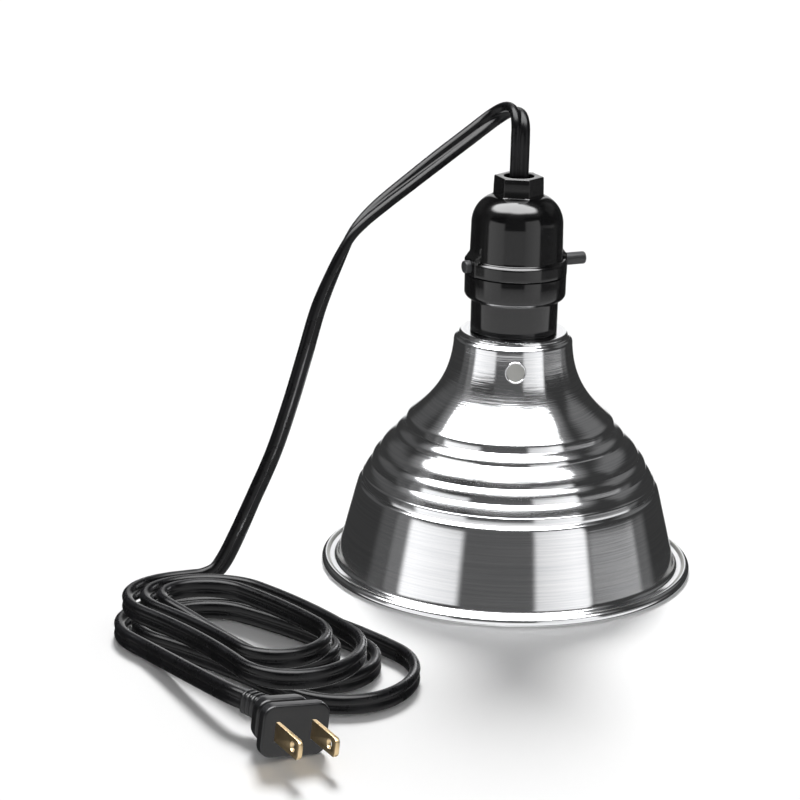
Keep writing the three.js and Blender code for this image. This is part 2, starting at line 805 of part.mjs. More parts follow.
function makeCentreContact() {
  const rootHeight = shellTopHeight - contact.thickness;
  const rivetPlace = Math.hypot(contact.rivetAlong, contact.rivetAcross);
  const rootEnd = shellHoleRadius - CLEARANCE;
  const bend = rivetPlace - contact.rivetHeadRadius - CLEARANCE;
  const tip = -contact.tongueReach;
  const low = rootHeight - contact.tongueDrop;
  const outline = [
    [rootEnd, rootHeight],
    [rootEnd, shellTopHeight],
    [bend, shellTopHeight],
    [0, low + contact.thickness],
    [tip, low + 2 * contact.thickness],
    [tip, low + contact.thickness],
    [0, low],
    [bend, rootHeight],
  ];
  const hole = disc(contact.rivetRadius + CLEARANCE, rootHeight - OVERRUN, shellTopHeight + OVERRUN, TINY_ROUND);
  const halfRoot = Math.sqrt(shellHoleRadius ** 2 - rootEnd ** 2);
  const width = Math.max(contact.tongueWidth, 2 * halfRoot);
  const strip = acrossOutline(outline, width).subtract(hole.translate([rivetPlace, 0, 0]));
  const trim = disc(rootEnd, low - OVERRUN, shellTopHeight + OVERRUN, THREAD_ROUND);
  const azimuth = THREE.MathUtils.radToDeg(Math.atan2(contact.rivetAcross, contact.rivetAlong));
  return piece('centre_contact', turnedAbout(strip.intersect(trim), azimuth), brass);
}

function makeContactRivet() {
  const under = shellTopHeight - contact.thickness - CLEARANCE;
  const over = stripHeight + contact.thickness + CLEARANCE;
  const shank = disc(contact.rivetRadius, under - CLEARANCE, over + CLEARANCE, TINY_ROUND);
  const foot = disc(contact.rivetHeadRadius, under - contact.rivetHeadHeight, under, TINY_ROUND);
  const head = disc(contact.rivetHeadRadius, over, over + contact.rivetHeadHeight, TINY_ROUND);
  const rivet = shank.add(foot).add(head);
  return piece('contact_rivet', rivet.translate([contact.rivetAlong, contact.rivetAcross, 0]), brass);
}

function makeRod() {
  const half = rod.length / 2;
  const outline = [
    [0, -half],
    [rod.radius - rod.chamfer, -half],
    [rod.radius, -half + rod.chamfer],
    [rod.radius, half - rod.chamfer],
    [rod.radius - rod.chamfer, half],
    [0, half],
  ];
  const bar = turned(outline, SMALL_ROUND).rotate([0, 90, 0]).translate([rodRest, 0, rodHeight]);
  return piece('switch_rod', bar, rodPlastic);
}

function makeCarriage() {
  const height = carriageTop - carriageFoot;
  const moulded = block(
    2 * carriageHalfLength, 2 * carriageHalfWidth, height, rodRest, 0, carriageFoot + height / 2,
  );
  const bore = disc(rodRoom, -chamberRadius, chamberRadius, SMALL_ROUND)
    .rotate([0, 90, 0])
    .translate([rodRest, 0, rodHeight]);
  return piece('switch_carriage', moulded.subtract(bore), fibre);
}

function makeBridge() {
  const half = contact.bridgeLength / 2;
  const turnedUp = contact.thickness / 2;
  const outline = [
    [rodRest - half, bridgeHeight + turnedUp],
    [rodRest - half + contact.thickness, bridgeHeight],
    [rodRest + half - contact.thickness, bridgeHeight],
    [rodRest + half, bridgeHeight + turnedUp],
    [rodRest + half, bridgeHeight + contact.thickness],
    [rodRest - half, bridgeHeight + contact.thickness],
  ];
  return piece('contact_bridge', acrossOutline(outline, contact.width), brass);
}

function makeRetainingRing() {
  const top = lipHeight - reflector.wall - CLEARANCE;
  const foot = top - ring.height;
  const ringRadius = mouthRadius + ring.wall;
  let nut = turned([[mouthRadius, foot], [ringRadius, foot], [ringRadius, top], [mouthRadius, top]]);
  for (let i = 0; i < ringSlots; i += 1) {
    const slot = block(
      2 * ring.slotDepth, ring.slotWidth, ring.height,
      ringRadius, 0, top - ring.height / 2 - ring.slotDepth,
    );
    nut = nut.subtract(turnedAbout(slot, (360 * i) / ringSlots));
  }
  return piece('retaining_ring', nut, phenolic);
}

// Cord and leads

function roundedRectangle(width, height, corner) {
  const shape = new THREE.Shape();
  const [x, y] = [width / 2, height / 2];
  shape.moveTo(-x + corner, -y);
  shape.lineTo(x - corner, -y);
  shape.absarc(x - corner, -y + corner, corner, -Math.PI / 2, 0, false);
  shape.lineTo(x, y - corner);
  shape.absarc(x - corner, y - corner, corner, 0, Math.PI / 2, false);
  shape.lineTo(-x + corner, y);
  shape.absarc(-x + corner, y - corner, corner, Math.PI / 2, Math.PI, false);
  shape.lineTo(-x, -y + corner);
  shape.absarc(-x + corner, -y + corner, corner, Math.PI, Math.PI * 1.5, false);
  return shape;
}

// Eight sides round a flat twin cord, as [out of its flat side, across its width].
function flatOutline() {
  const [x, y] = [cord.thickness / 2, cord.width / 2];
  const bend = cord.thickness / 4;
  return [
    [x, -y + 2 * bend], [x, y - 2 * bend], [x - bend, y], [bend - x, y],
    [-x, y - 2 * bend], [-x, -y + 2 * bend], [bend - x, -y], [x - bend, -y],
  ];
}

// A flat twin tube through stops, each a point and the way the flat side faces there.
function flatTube(stops, stepsPerSpan) {
  const curve = new THREE.CatmullRomCurve3(stops.map(([place]) => place), false, 'centripetal');
  const steps = (stops.length - 1) * stepsPerSpan;
  const outline = flatOutline();
  const places = [];
  for (let i = 0; i <= steps; i += 1) {
    const span = Math.min(Math.floor(i / stepsPerSpan), stops.length - 2);
    const facing = stops[span][1].clone().lerp(stops[span + 1][1], i / stepsPerSpan - span);
    const place = curve.getPoint(i / steps);
    const way = curve.getTangent(i / steps);
    const across = facing.cross(way).normalize();
    const out = way.clone().cross(across);
    for (const [x, y] of outline) {
      places.push(...place.clone().addScaledVector(out, x).addScaledVector(across, y).toArray());
    }
  }
  return loftedSolid(places, outline.length, steps + 1);
}

// One loop with round ends, as [along, across], at a share of its turn counted from the back run's right end.
function loopPoint(share, right, left, halfWidth) {
  const endShare = 0.5 - runShare;
  const [rightCentre, leftCentre] = [right - halfWidth, halfWidth - left];
  if (share < runShare) {
    return [THREE.MathUtils.lerp(rightCentre, leftCentre, share / runShare), halfWidth];
  }
  if (share < 0.5) {
    const angle = Math.PI * (0.5 + (share - runShare) / endShare);
    return [leftCentre + halfWidth * Math.cos(angle), halfWidth * Math.sin(angle)];
  }
  if (share < 0.5 + runShare) {
    return [THREE.MathUtils.lerp(leftCentre, rightCentre, (share - 0.5) / runShare), -halfWidth];
  }
  const angle = Math.PI * (-0.5 + (share - 0.5 - runShare) / endShare);
  return [rightCentre + halfWidth * Math.cos(angle), halfWidth * Math.sin(angle)];
}

// Where the middle of the cord lies, so many turns after it lands on the pile.
function pilePoint(turn) {
  const past = turn - reversalTurn;
  const away = Math.hypot(past, reversalEaseShare) - reversalEaseShare;
  const [along, across] = loopPoint(
    (landingShare + turn) % 1,
    pile.innerRight + pile.growRight * away,
    pile.innerLeft + pile.growLeft * away,
    pile.innerHalfWidth + pile.growHalfWidth * away,
  );
  const bowed = across + pile.bow * (1 - (along / pile.bowReach) ** 2);
  const upper = 1 - THREE.MathUtils.smoothstep(past, -climbTurns / 2, climbTurns / 2);
  const azimuth = degrees(pile.azimuth + upper * upperTurn);
  return new THREE.Vector3(
    pile.centre[0] + upper * pile.upperShift[0] + along * Math.cos(azimuth) - bowed * Math.sin(azimuth),
    pile.centre[1] + upper * pile.upperShift[1] + along * Math.sin(azimuth) + bowed * Math.cos(azimuth),
    cord.width / 2 + pile.surfaceGap + upper * (cord.width + pile.layerGap),
  );
}

function pileHeading(turn) {
  const step = 1e-3;
  return pilePoint(turn + step).sub(pilePoint(turn - step)).setZ(0).normalize();
}

// The whole route of the loops, with one cord width of straight run at each end.
function pileRoute() {
  const steps = Math.round(pileTurns * LOOP_STEPS);
  const route = [];
  for (let i = 0; i <= steps; i += 1) route.push(pilePoint((pileTurns * i) / steps));
  const start = route[0].clone().addScaledVector(pileHeading(0), -cord.width);
  const end = route.at(-1).clone().addScaledVector(pileHeading(pileTurns), cord.width);
  return [start, ...route, end];
}

// A tube of six sides whose width stands upright.
function uprightTube(route) {
  const [x, y] = [cord.thickness / 2, cord.width / 2];
  const section = [[x, -y / 2], [x, y / 2], [0, y], [-x, y / 2], [-x, -y / 2], [0, -y]];
  const sides = section.length;
  const places = [];
  route.forEach((point, i) => {
    const before = route[Math.max(i - 1, 0)];
    const after = route[Math.min(i + 1, route.length - 1)];
    const heading = after.clone().sub(before).setZ(0).normalize();
    for (const [out, up] of section) {
      places.push(point.x + out * heading.y, point.y - out * heading.x, point.z + up);
    }
  });
  return loftedSolid(places, sides, route.length);
}

// Points along a smooth curve through a few chosen ones.
function smoothed(points, steps) {
  return new THREE.CatmullRomCurve3(points, false, 'centripetal').getSpacedPoints(steps);
}

// Least gap between two stretches of the loops that lie more than a third of a turn apart.
function leastGap() {
  const perTurn = 60;
  const count = Math.round(pileTurns * perTurn);
  const points = Array.from({ length: count + 1 }, (_, i) => pilePoint((pileTurns * i) / count));
  let least = Infinity;
  for (let i = 0; i < count; i += 1) {
    for (let k = i + perTurn / 3; k <= count; k += 1) {
      const level = Math.hypot(points[k].x - points[i].x, points[k].y - points[i].y) - cord.thickness;
      const upright = Math.abs(points[k].z - points[i].z) - cord.width;
      least = Math.min(least, Math.hypot(Math.max(level, 0), Math.max(upright, 0)));
    }
  }
  return least;
}

function toVector([x, y, z]) {
  return new THREE.Vector3(x, y, z);
}

function plugWay() {
  const angle = degrees(plug.azimuth);
  return new THREE.Vector3(Math.cos(angle), Math.sin(angle), 0);
}

function reliefLength() {
  return plug.reliefBend + ribCount * plug.ribPitch;
}

function plugDepth() {
  return plug.flangeDepth + plug.waistDepth + plug.backDepth;
}

// Height of the face's centre when the lower side of the leaning flange touches the surface.
function plugHeight() {
  const lean = degrees(plug.roll);
  const down = (plug.faceHeight / 2 - plug.faceCorner) * Math.cos(lean);
  const aside = (plug.faceWidth / 2 - plug.faceCorner) * Math.sin(lean);
  return plug.faceCorner + down + aside + pile.surfaceGap;
}

// A place on the relief's axis and the way the axis runs there, in the plug's own frame.
function reliefAxis(depth) {
  const swing = degrees(plug.reliefSwing);
  const radius = plug.reliefBend / swing;
  const angle = swing * THREE.MathUtils.clamp(depth / plug.reliefBend, 0, 1);
  const past = Math.max(depth - plug.reliefBend, 0) + Math.min(depth, 0);
  const way = new THREE.Vector3(-Math.sin(angle), 0, -Math.cos(angle));
  const place = new THREE.Vector3(-radius * (1 - Math.cos(angle)), 0, -plugDepth() - radius * Math.sin(angle));
  return [place.addScaledVector(way, past), way];
}

function plugFrame() {
  // Blades out of +Z are laid level, leant, then turned to the plug's way.
  const turn = new THREE.Euler(Math.PI / 2, degrees(plug.roll), degrees(plug.azimuth + 90), 'ZYX');
  const place = new THREE.Vector3(plug.faceCentre[0], plug.faceCentre[1], plugHeight());
  return new THREE.Matrix4().makeRotationFromEuler(turn).setPosition(place);
}

function makeCordPieces() {
  const route = pileRoute();
  const landing = route[0].clone().addScaledVector(pileHeading(0), -CLEARANCE);
  const beforeLanding = landing.clone().addScaledVector(pileHeading(0), -cord.thickness / 2);
  const landingSide = new THREE.Vector3(-pileHeading(0).y, pileHeading(0).x, 0);
  const drop = [
    [new THREE.Vector3(0, 0, splitHeight + CLEARANCE), toVector(dropStops[0][1])],
    ...dropStops.map((stop) => stop.map(toVector)),
    [beforeLanding, landingSide],
    [landing, landingSide],
  ];
  const leaving = route.at(-1).clone().addScaledVector(pileHeading(pileTurns), CLEARANCE);
  const afterLeaving = leaving.clone().addScaledVector(pileHeading(pileTurns), cord.width);
  const [reliefEnd, way] = reliefAxis(reliefLength());
  const arriving = reliefEnd.clone().addScaledVector(way, CLEARANCE).applyMatrix4(plugFrame());
  const beforeArriving = reliefEnd.clone().addScaledVector(way, CLEARANCE + cord.width).applyMatrix4(plugFrame());
  return [
    piece('cord_drop', flatTube(drop, dropStepsPerSpan), cordVinyl),
    piece('cord_hank', uprightTube(route), cordVinyl),
    piece('cord_tail', uprightTube(smoothed([leaving, afterLeaving, beforeArriving, arriving], 12)), cordVinyl),
  ];
}

// One insulated conductor from the split cord to a terminal screw.
function makeLead(name, side, across, finish) {
  const azimuth = degrees(rod.azimuth);
  const end = new THREE.Vector2(terminal.along, across).rotateAround(new THREE.Vector2(), azimuth);
  const startX = (side * lead.spacing) / 2;
  const top = splitHeight - CLEARANCE;
  const foot = screwHeadHeight + terminal.headHeight + CLEARANCE;
  const straight = 2 * lead.radius;
  const middle = new THREE.Vector3((startX + end.x) / 2, end.y / 2, (top + foot) / 2);
  const points = [
    new THREE.Vector3(startX, 0, top),
    new THREE.Vector3(startX, 0, top - straight),
    middle,
    new THREE.Vector3(end.x, end.y, foot + straight),
    new THREE.Vector3(end.x, end.y, foot),
  ];
  const section = new THREE.Shape().absarc(0, 0, lead.radius, 0, 2 * Math.PI, false);
  const path = new THREE.CatmullRomCurve3(points, false, 'centripetal');
  const geometry = new THREE.ExtrudeGeometry(section, { steps: 12, extrudePath: path, curveSegments: 4 });
  return piece(name, solid(geometry), finish);
}

// Plug, built with its face at the origin and its blades along +Z

function plugSlab(width, height, corner, back, front, round) {
  const shape = roundedRectangle(width - 2 * round, height - 2 * round, corner - round);
  const geometry = new THREE.ExtrudeGeometry(shape, {
    depth: front - back - 2 * round,
    bevelEnabled: round > 0,
    bevelThickness: round,
    bevelSize: round,
    bevelSegments: 2,
    curveSegments: 4,
  });
  return solid(geometry.translate(0, 0, back + round));
}

function makePlugBody() {
  const p = plug;
  const flangeFoot = -p.flangeDepth;
  const waistFoot = flangeFoot - p.waistDepth;
  const backFoot = waistFoot - p.backDepth;
  let moulding = plugSlab(p.faceWidth, p.faceHeight, p.faceCorner, flangeFoot, 0, p.edgeRound);
  moulding = moulding.add(
    plugSlab(p.waistWidth, p.waistHeight, p.backCorner, waistFoot - p.edgeRound, flangeFoot + p.edgeRound, 0),
  );
  moulding = moulding.add(plugSlab(p.backWidth, p.backHeight, p.backCorner, backFoot, waistFoot, p.edgeRound));
  moulding = moulding.add(makeRelief());
  for (const side of [-1, 1]) {
    moulding = moulding.subtract(block(
      blade.thickness + 2 * CLEARANCE, blade.width + 2 * CLEARANCE, 2 * (blade.seatDepth + CLEARANCE),
      (side * blade.spacing) / 2, 0, 0,
    ));
  }
  return piece('plug_body', moulding, plugVinyl);
}

// Tapered strain relief behind the grip: a root that swings aside, then ribs with waists between them.
function makeRelief() {
  const p = plug;
  const length = reliefLength();
  const outline = [
    [1, -0.5], [1, 0.5], [0.5, 1], [-0.5, 1], [-1, 0.5], [-1, -0.5], [-0.5, -1], [0.5, -1],
  ];
  const rings = [[-p.edgeRound, 0], [0, 0], [p.reliefBend / 2, 0], [p.reliefBend, 0]];
  for (let i = 0; i < ribCount; i += 1) {
    const depth = p.reliefBend + i * p.ribPitch;
    for (const [share, inset] of ribShares) rings.push([depth + share * p.ribPitch, inset * p.ribDepth]);
  }
  const places = [];
  for (const [depth, inset] of rings) {
    const halfWidth = THREE.MathUtils.lerp(p.reliefRootWidth, p.reliefTipWidth, depth / length) / 2 - inset;
    const halfHeight = THREE.MathUtils.lerp(p.reliefRootHeight, p.reliefTipHeight, depth / length) / 2 - inset;
    const [place, way] = reliefAxis(depth);
    for (const [across, up] of outline) {
      const out = across * halfWidth;
      places.push(place.x - out * way.z, up * halfHeight, place.z + out * way.x);
    }
  }
  return loftedSolid(places, outline.length, rings.length);
}

function makeBlade(name, side) {
  const half = blade.width / 2;
  const shape = new THREE.Shape([
    new THREE.Vector2(-blade.seatDepth, -half),
    new THREE.Vector2(blade.length - blade.chamfer, -half),
    new THREE.Vector2(blade.length, -half + blade.chamfer),
    new THREE.Vector2(blade.length, half - blade.chamfer),
    new THREE.Vector2(blade.length - blade.chamfer, half),
    new THREE.Vector2(-blade.seatDepth, half),
  ]);
  const hole = new THREE.Path();
  hole.absarc(blade.length - blade.holeFromTip, 0, blade.holeRadius, 0, 2 * Math.PI, true);
  shape.holes.push(hole);
  const geometry = new THREE.ExtrudeGeometry(shape, {
    depth: blade.thickness, bevelEnabled: false, curveSegments: 6,
  });
  geometry.translate(0, 0, -blade.thickness / 2).rotateY(-Math.PI / 2);
  geometry.translate((side * blade.spacing) / 2, 0, 0);
  return piece(name, solid(geometry), brass);
}

function makePlug() {
  const group = new THREE.Group();
  group.add(makePlugBody(), makeBlade('plug_blade_left', -1), makeBlade('plug_blade_right', 1));
  group.applyMatrix4(plugFrame());
  return group;
}

function makeMechanism() {
  const group = new THREE.Group();
  group.rotation.z = degrees(rod.azimuth);
  group.add(
    makeScrewShell(),
    makeBase(),
    ...makeStrips(),
    makeTerminalScrew('terminal_screw_hot', terminal.across, brass),
    makeTerminalScrew('terminal_screw_neutral', -terminal.across, steel),
    makeAssemblyScrew('assembly_screw_front', -1),
    makeAssemblyScrew('assembly_screw_back', 1),
    makeCentreContact(),
    makeContactRivet(),
    makeRod(),
    makeCarriage(),
    makeBridge(),
  );
  return group;
}

const lamp = new THREE.Group();
lamp.add(
  makeReflector(),
  makeRetainingRing(),
  makeBody(),
  makeCap(),
  makeMechanism(),
  makeLead('lead_hot', -1, terminal.across, cordVinyl),
  makeLead('lead_neutral', 1, -terminal.across, whiteVinyl),
  ...makeCordPieces(),
  makePlug(),
);

console.log(`least gap between the cord's loops: ${leastGap().toFixed(2)} mm`);

export default lamp;
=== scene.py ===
import math

import bmesh
import bpy
import numpy as np
from mathutils import Matrix, Vector


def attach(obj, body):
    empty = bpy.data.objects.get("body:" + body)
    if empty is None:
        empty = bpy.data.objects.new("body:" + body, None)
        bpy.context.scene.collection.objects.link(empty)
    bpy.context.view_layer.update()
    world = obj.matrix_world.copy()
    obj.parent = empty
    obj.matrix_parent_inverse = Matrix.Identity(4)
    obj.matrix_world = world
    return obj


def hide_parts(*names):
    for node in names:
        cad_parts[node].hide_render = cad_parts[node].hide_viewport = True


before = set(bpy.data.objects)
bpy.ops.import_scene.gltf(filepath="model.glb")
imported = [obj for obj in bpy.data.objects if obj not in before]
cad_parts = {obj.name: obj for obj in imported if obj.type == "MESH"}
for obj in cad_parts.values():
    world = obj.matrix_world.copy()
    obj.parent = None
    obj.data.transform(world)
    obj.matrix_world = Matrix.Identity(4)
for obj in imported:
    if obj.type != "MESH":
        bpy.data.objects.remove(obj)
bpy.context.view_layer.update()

MM = 0.001
WHITE = (1.0, 1.0, 1.0, 1.0)

scene = bpy.context.scene
scene.view_settings.view_transform = "Standard"
scene.view_settings.look = "None"


# Camera: its place and angles were fitted to the rim, the rings and the silhouettes in the photograph

FRAME_PIXELS = 800.0
SENSOR_WIDTH = 36.0


def place_camera(distance, height, focal_pixels, yaw, pitch, roll):
    """Distance and height are in millimetres from the middle of the rim, and the angles are in radians."""
    ahead = Vector((-math.sin(yaw) * math.cos(pitch), math.cos(yaw) * math.cos(pitch), -math.sin(pitch)))
    right = Vector((math.cos(yaw), math.sin(yaw), 0.0))
    up = right.cross(ahead)
    side = right * math.cos(roll) + up * math.sin(roll)
    top = up * math.cos(roll) - right * math.sin(roll)
    data = bpy.data.cameras.new("camera")
    data.sensor_width = SENSOR_WIDTH
    data.lens = SENSOR_WIDTH * focal_pixels / FRAME_PIXELS
    data.clip_start = 0.01
    data.clip_end = 50.0
    camera = bpy.data.objects.new("camera", data)
    scene.collection.objects.link(camera)
    turn = Matrix((side, top, -ahead)).transposed().to_4x4()
    camera.matrix_world = Matrix.Translation((0.0, -distance * MM, height * MM)) @ turn
    scene.camera = camera


place_camera(distance=954.4, height=340.0, focal_pixels=2637.6, yaw=0.0437, pitch=0.2823, roll=0.0246)


# Meshes, all in millimetres until mesh_object() scales them

def mesh_object(name, places, faces, sharp=40.0):
    """sharp is the angle in degrees from which an edge is shaded as an edge."""
    mesh = bpy.data.meshes.new(name)
    mesh.from_pydata([tuple(p) for p in np.asarray(places, float) * MM], [], faces)
    mesh.update()
    bm = bmesh.new()
    bm.from_mesh(mesh)
    bmesh.ops.recalc_face_normals(bm, faces=bm.faces)
    bm.to_mesh(mesh)
    bm.free()
    shade(mesh, sharp)
    piece = bpy.data.objects.new(name, mesh)
    scene.collection.objects.link(piece)
    return piece


def shade(mesh, sharp):
    mesh.shade_smooth()
    mesh.set_sharp_from_angle(angle=math.radians(sharp))


def grid_faces(rows, around, closed_rows=True):
    """Quads between rows of points. closed_rows joins the last row to the first one too."""
    faces = []
    for i in range(rows if closed_rows else rows - 1):
        a, b = i * around, (i + 1) % rows * around
        for k in range(around):
            n = (k + 1) % around
            faces.append((a + k, a + n, b + n, b + k))
    return faces


def tube_mesh(name, rings, sharp=40.0):
    """Rings of points joined into a tube, closed at both ends."""
    rings = np.asarray(rings, float)
    rows, around = rings.shape[:2]
    faces = grid_faces(rows, around, closed_rows=False)
    faces.append(tuple(range(around))[::-1])
    faces.append(tuple((rows - 1) * around + k for k in range(around)))
    return mesh_object(name, rings.reshape(-1, 3), faces, sharp)


def turn_angles(around):
    return 2 * np.pi * np.arange(around) / around


def turned_row(radii, angles, height):
    """Points round Z. The radius and the height are one number, or one for each angle."""
    return np.stack([radii * np.cos(angles), radii * np.sin(angles), height + 0.0 * angles], 1)


def lathe(name, outline, around, sharp, radii_at=None):
    """A closed outline of (radius, height), turned about Z. radii_at(row, angles, radii) may change a row's radii."""
    angles = turn_angles(around)
    places = []
    for row, (radius, height) in enumerate(outline):
        radii = np.full(around, float(radius))
        if radii_at is not None:
            radii = radii_at(row, angles, radii)
        places.append(turned_row(radii, angles, height))
    return mesh_object(name, np.concatenate(places), grid_faces(len(outline), around), sharp)


def round_ring(middle, side, up, side_radius, up_radius, around):
    """An ellipse about a middle, along two ways at right angles."""
    return [tuple(middle + side * (side_radius * math.cos(a)) + up * (up_radius * math.sin(a)))
            for a in turn_angles(around)]


def cut(piece, *tools):
    """Cut the tools out of the piece and delete them."""
    for tool in tools:
        modifier = piece.modifiers.new("cut", "BOOLEAN")
        modifier.operation = "DIFFERENCE"
        modifier.solver = "EXACT"
        modifier.object = tool
    evaluated = piece.evaluated_get(bpy.context.evaluated_depsgraph_get())
    mesh = bpy.data.meshes.new_from_object(evaluated)
    piece.modifiers.clear()
    piece.data = mesh
    for tool in tools:
        data = tool.data
        bpy.data.objects.remove(tool)
        bpy.data.meshes.remove(data)


def join(name, pieces):
    """Make several pieces into one, and delete them."""
    bm = bmesh.new()
    for piece in pieces:
        copy = piece.data.copy()
        copy.transform(piece.matrix_world)
        bm.from_mesh(copy)
        bpy.data.meshes.remove(copy)
    mesh = bpy.data.meshes.new(name)
    bm.to_mesh(mesh)
    bm.free()
    whole = bpy.data.objects.new(name, mesh)
    scene.collection.objects.link(whole)
    for piece in pieces:
        data = piece.data
        bpy.data.objects.remove(piece)
        bpy.data.meshes.remove(data)
    return whole


def cylinder(name, radius, start, end, around=48):
    """A plain round tool for cutting, from one point to another."""
    start, end = Vector(start), Vector(end)
    way = (end - start).normalized()
    side = way.orthogonal().normalized()
    up = way.cross(side)
    rings = []
    for place in (start, end):
        rings.append([tuple(place + radius * (math.cos(a) * side + math.sin(a) * up)) for a in turn_angles(around)])
    return tube_mesh(name, rings)


def arc(centre, radii, start, end, steps):
    """Points along part of an ellipse, from one angle in degrees to another."""
    angles = np.radians(np.linspace(start, end, steps + 1))
    return [(centre[0] + radii[0] * math.cos(a), centre[1] + radii[1] * math.sin(a)) for a in angles]


def smoothstep(x, low, high):
    t = np.clip((x - low) / (high - low), 0.0, 1.0)
    return t * t * (3 - 2 * t)


# Cord: its route is that of the CAD solids

# Points along the free fall, and the way that the cord's flat side faces at each
DROP = [
    ((0, 0, 139.3), (0, -1, 0)), ((0, 0, 146), (0, -1, 0)), ((0, 0, 152), (0, -1, 0)),
    ((0, 0, 158.5), (0, -1, 0)), ((0, 0, 164.3), (0, -1, 0.13)), ((-0.1, 1.3, 168.9), (0.26, -0.82, 0.51)),
    ((-0.9, 4.7, 172.2), (0.42, -0.34, 0.84)), ((-2.8, 8.9, 173.3), (0.43, 0.26, 0.86)),
    ((-5.7, 12.5, 172.3), (0.3, 0.76, 0.58)), ((-9.4, 14.2, 169.7), (0.04, 1, 0.08)),
    ((-13.2, 13.2, 166.9), (-0.17, 0.9, -0.41)), ((-17.6, 9.8, 163.8), (-0.24, 0.79, -0.56)),
    ((-28.9, 0.7, 156), (-0.16, 0.76, -0.63)), ((-40, -8.2, 148.1), (0.03, 0.65, -0.76)),
    ((-49.7, -15.9, 141), (0.24, 0.52, -0.82)), ((-56, -20.9, 135.5), (0.58, 0.26, -0.77)),
    ((-60, -24.2, 130.6), (0.84, 0, -0.54)), ((-63, -26.5, 124.7), (0.91, -0.23, -0.34)),
    ((-66.6, -29.4, 116.4), (0.88, -0.43, -0.22)), ((-70.6, -32.6, 105.8), (0.8, -0.59, -0.1)),
    ((-75.1, -36.2, 88.7), (0.75, -0.66, -0.06)), ((-79.8, -40, 71.5), (0.74, -0.67, -0.06)),
    ((-85.2, -44.3, 54.4), (0.74, -0.67, -0.08)), ((-92.2, -49.8, 37.6), (0.74, -0.67, -0.09)),
    ((-97.4, -54, 25.4), (0.67, -0.75, -0.02)), ((-101.6, -57.6, 16.9), (0.62, -0.79, -0.04)),
    ((-104.6, -59.3, 13.1), (0.56, -0.8, -0.23)),
]
NECK_TOP = 150.3
CORD_WIDTH, CORD_THICKNESS = 7.0, 3.6
CLEARANCE = 0.3
CURVE_STEP, ROUTE_STEP = 1.5, 1.4  # between samples of a curve, and of the whole route
CORD_INSIDE_RELIEF = 4.0

# The pile's turns are counted from the landing. They close in on one turn in the upper layer, where the cord steps
# down, and widen again in the lower one. Reaches are from the pile's centre to the middle of the cord.
PILE_TURNS = 5 + 4 / 24
PILE_SAMPLES_A_TURN = 180
LANDING_SHARE = 7.25 / 24
STEP_DOWN_TURN = 2 + 6.75 / 24
STEP_DOWN_HALF = 0.12
INNERMOST_ROUNDING = 0.05
PILE_CENTRE, PILE_AZIMUTH = (-78, -113.5), -40
UPPER_SHIFT, UPPER_TURN = (-7, -1), -11
LOWER_HEIGHT, UPPER_RISE = 3.6, 7.55
INNER_RIGHT, GROW_RIGHT = 13, 18.5
INNER_LEFT, GROW_LEFT = 49, 5
INNER_HALF_WIDTH, GROW_HALF_WIDTH = 13, 6.3
BOW, BOW_REACH = 6, 50
RUN_SHARE = 1 / 6  # of a turn, along each long side


def loop_point(share, right, left, half):
    """A place on a loop of two straight runs and two half ellipses, so much of a turn from its start."""
    end = 0.5 - RUN_SHARE
    right_centre, left_centre = right - half, half - left
    if share < RUN_SHARE:
        t = share / RUN_SHARE
        return right_centre + (left_centre - right_centre) * t, half
    if share < 0.5:
        angle = math.pi * (0.5 + (share - RUN_SHARE) / end)
        return left_centre + half * math.cos(angle), half * math.sin(angle)
    if share < 0.5 + RUN_SHARE:
        t = (share - 0.5) / RUN_SHARE
        return left_centre + (right_centre - left_centre) * t, -half
    angle = math.pi * (-0.5 + (share - 0.5 - RUN_SHARE) / end)
    return right_centre + half * math.cos(angle), half * math.sin(angle)


def pile_point(turn):
    past = turn - STEP_DOWN_TURN
    away = math.hypot(past, INNERMOST_ROUNDING) - INNERMOST_ROUNDING
    along, across = loop_point(
        (LANDING_SHARE + turn) % 1, INNER_RIGHT + GROW_RIGHT * away, INNER_LEFT + GROW_LEFT * away,
        INNER_HALF_WIDTH + GROW_HALF_WIDTH * away,
    )
    across += BOW * (1 - (along / BOW_REACH) ** 2)
    upper = 1 - float(smoothstep(past, -STEP_DOWN_HALF, STEP_DOWN_HALF))
    azimuth = math.radians(PILE_AZIMUTH + UPPER_TURN * upper)
    return np.array((
        PILE_CENTRE[0] + UPPER_SHIFT[0] * upper + along * math.cos(azimuth) - across * math.sin(azimuth),
        PILE_CENTRE[1] + UPPER_SHIFT[1] * upper + along * math.sin(azimuth) + across * math.cos(azimuth),
        LOWER_HEIGHT + UPPER_RISE * upper,
    ))


def pile_heading(turn, near=1e-3):
    """The level way along the pile, from the places a little before and after."""
    way = pile_point(turn + near) - pile_point(turn - near)
    way[2] = 0
    return way / np.linalg.norm(way)


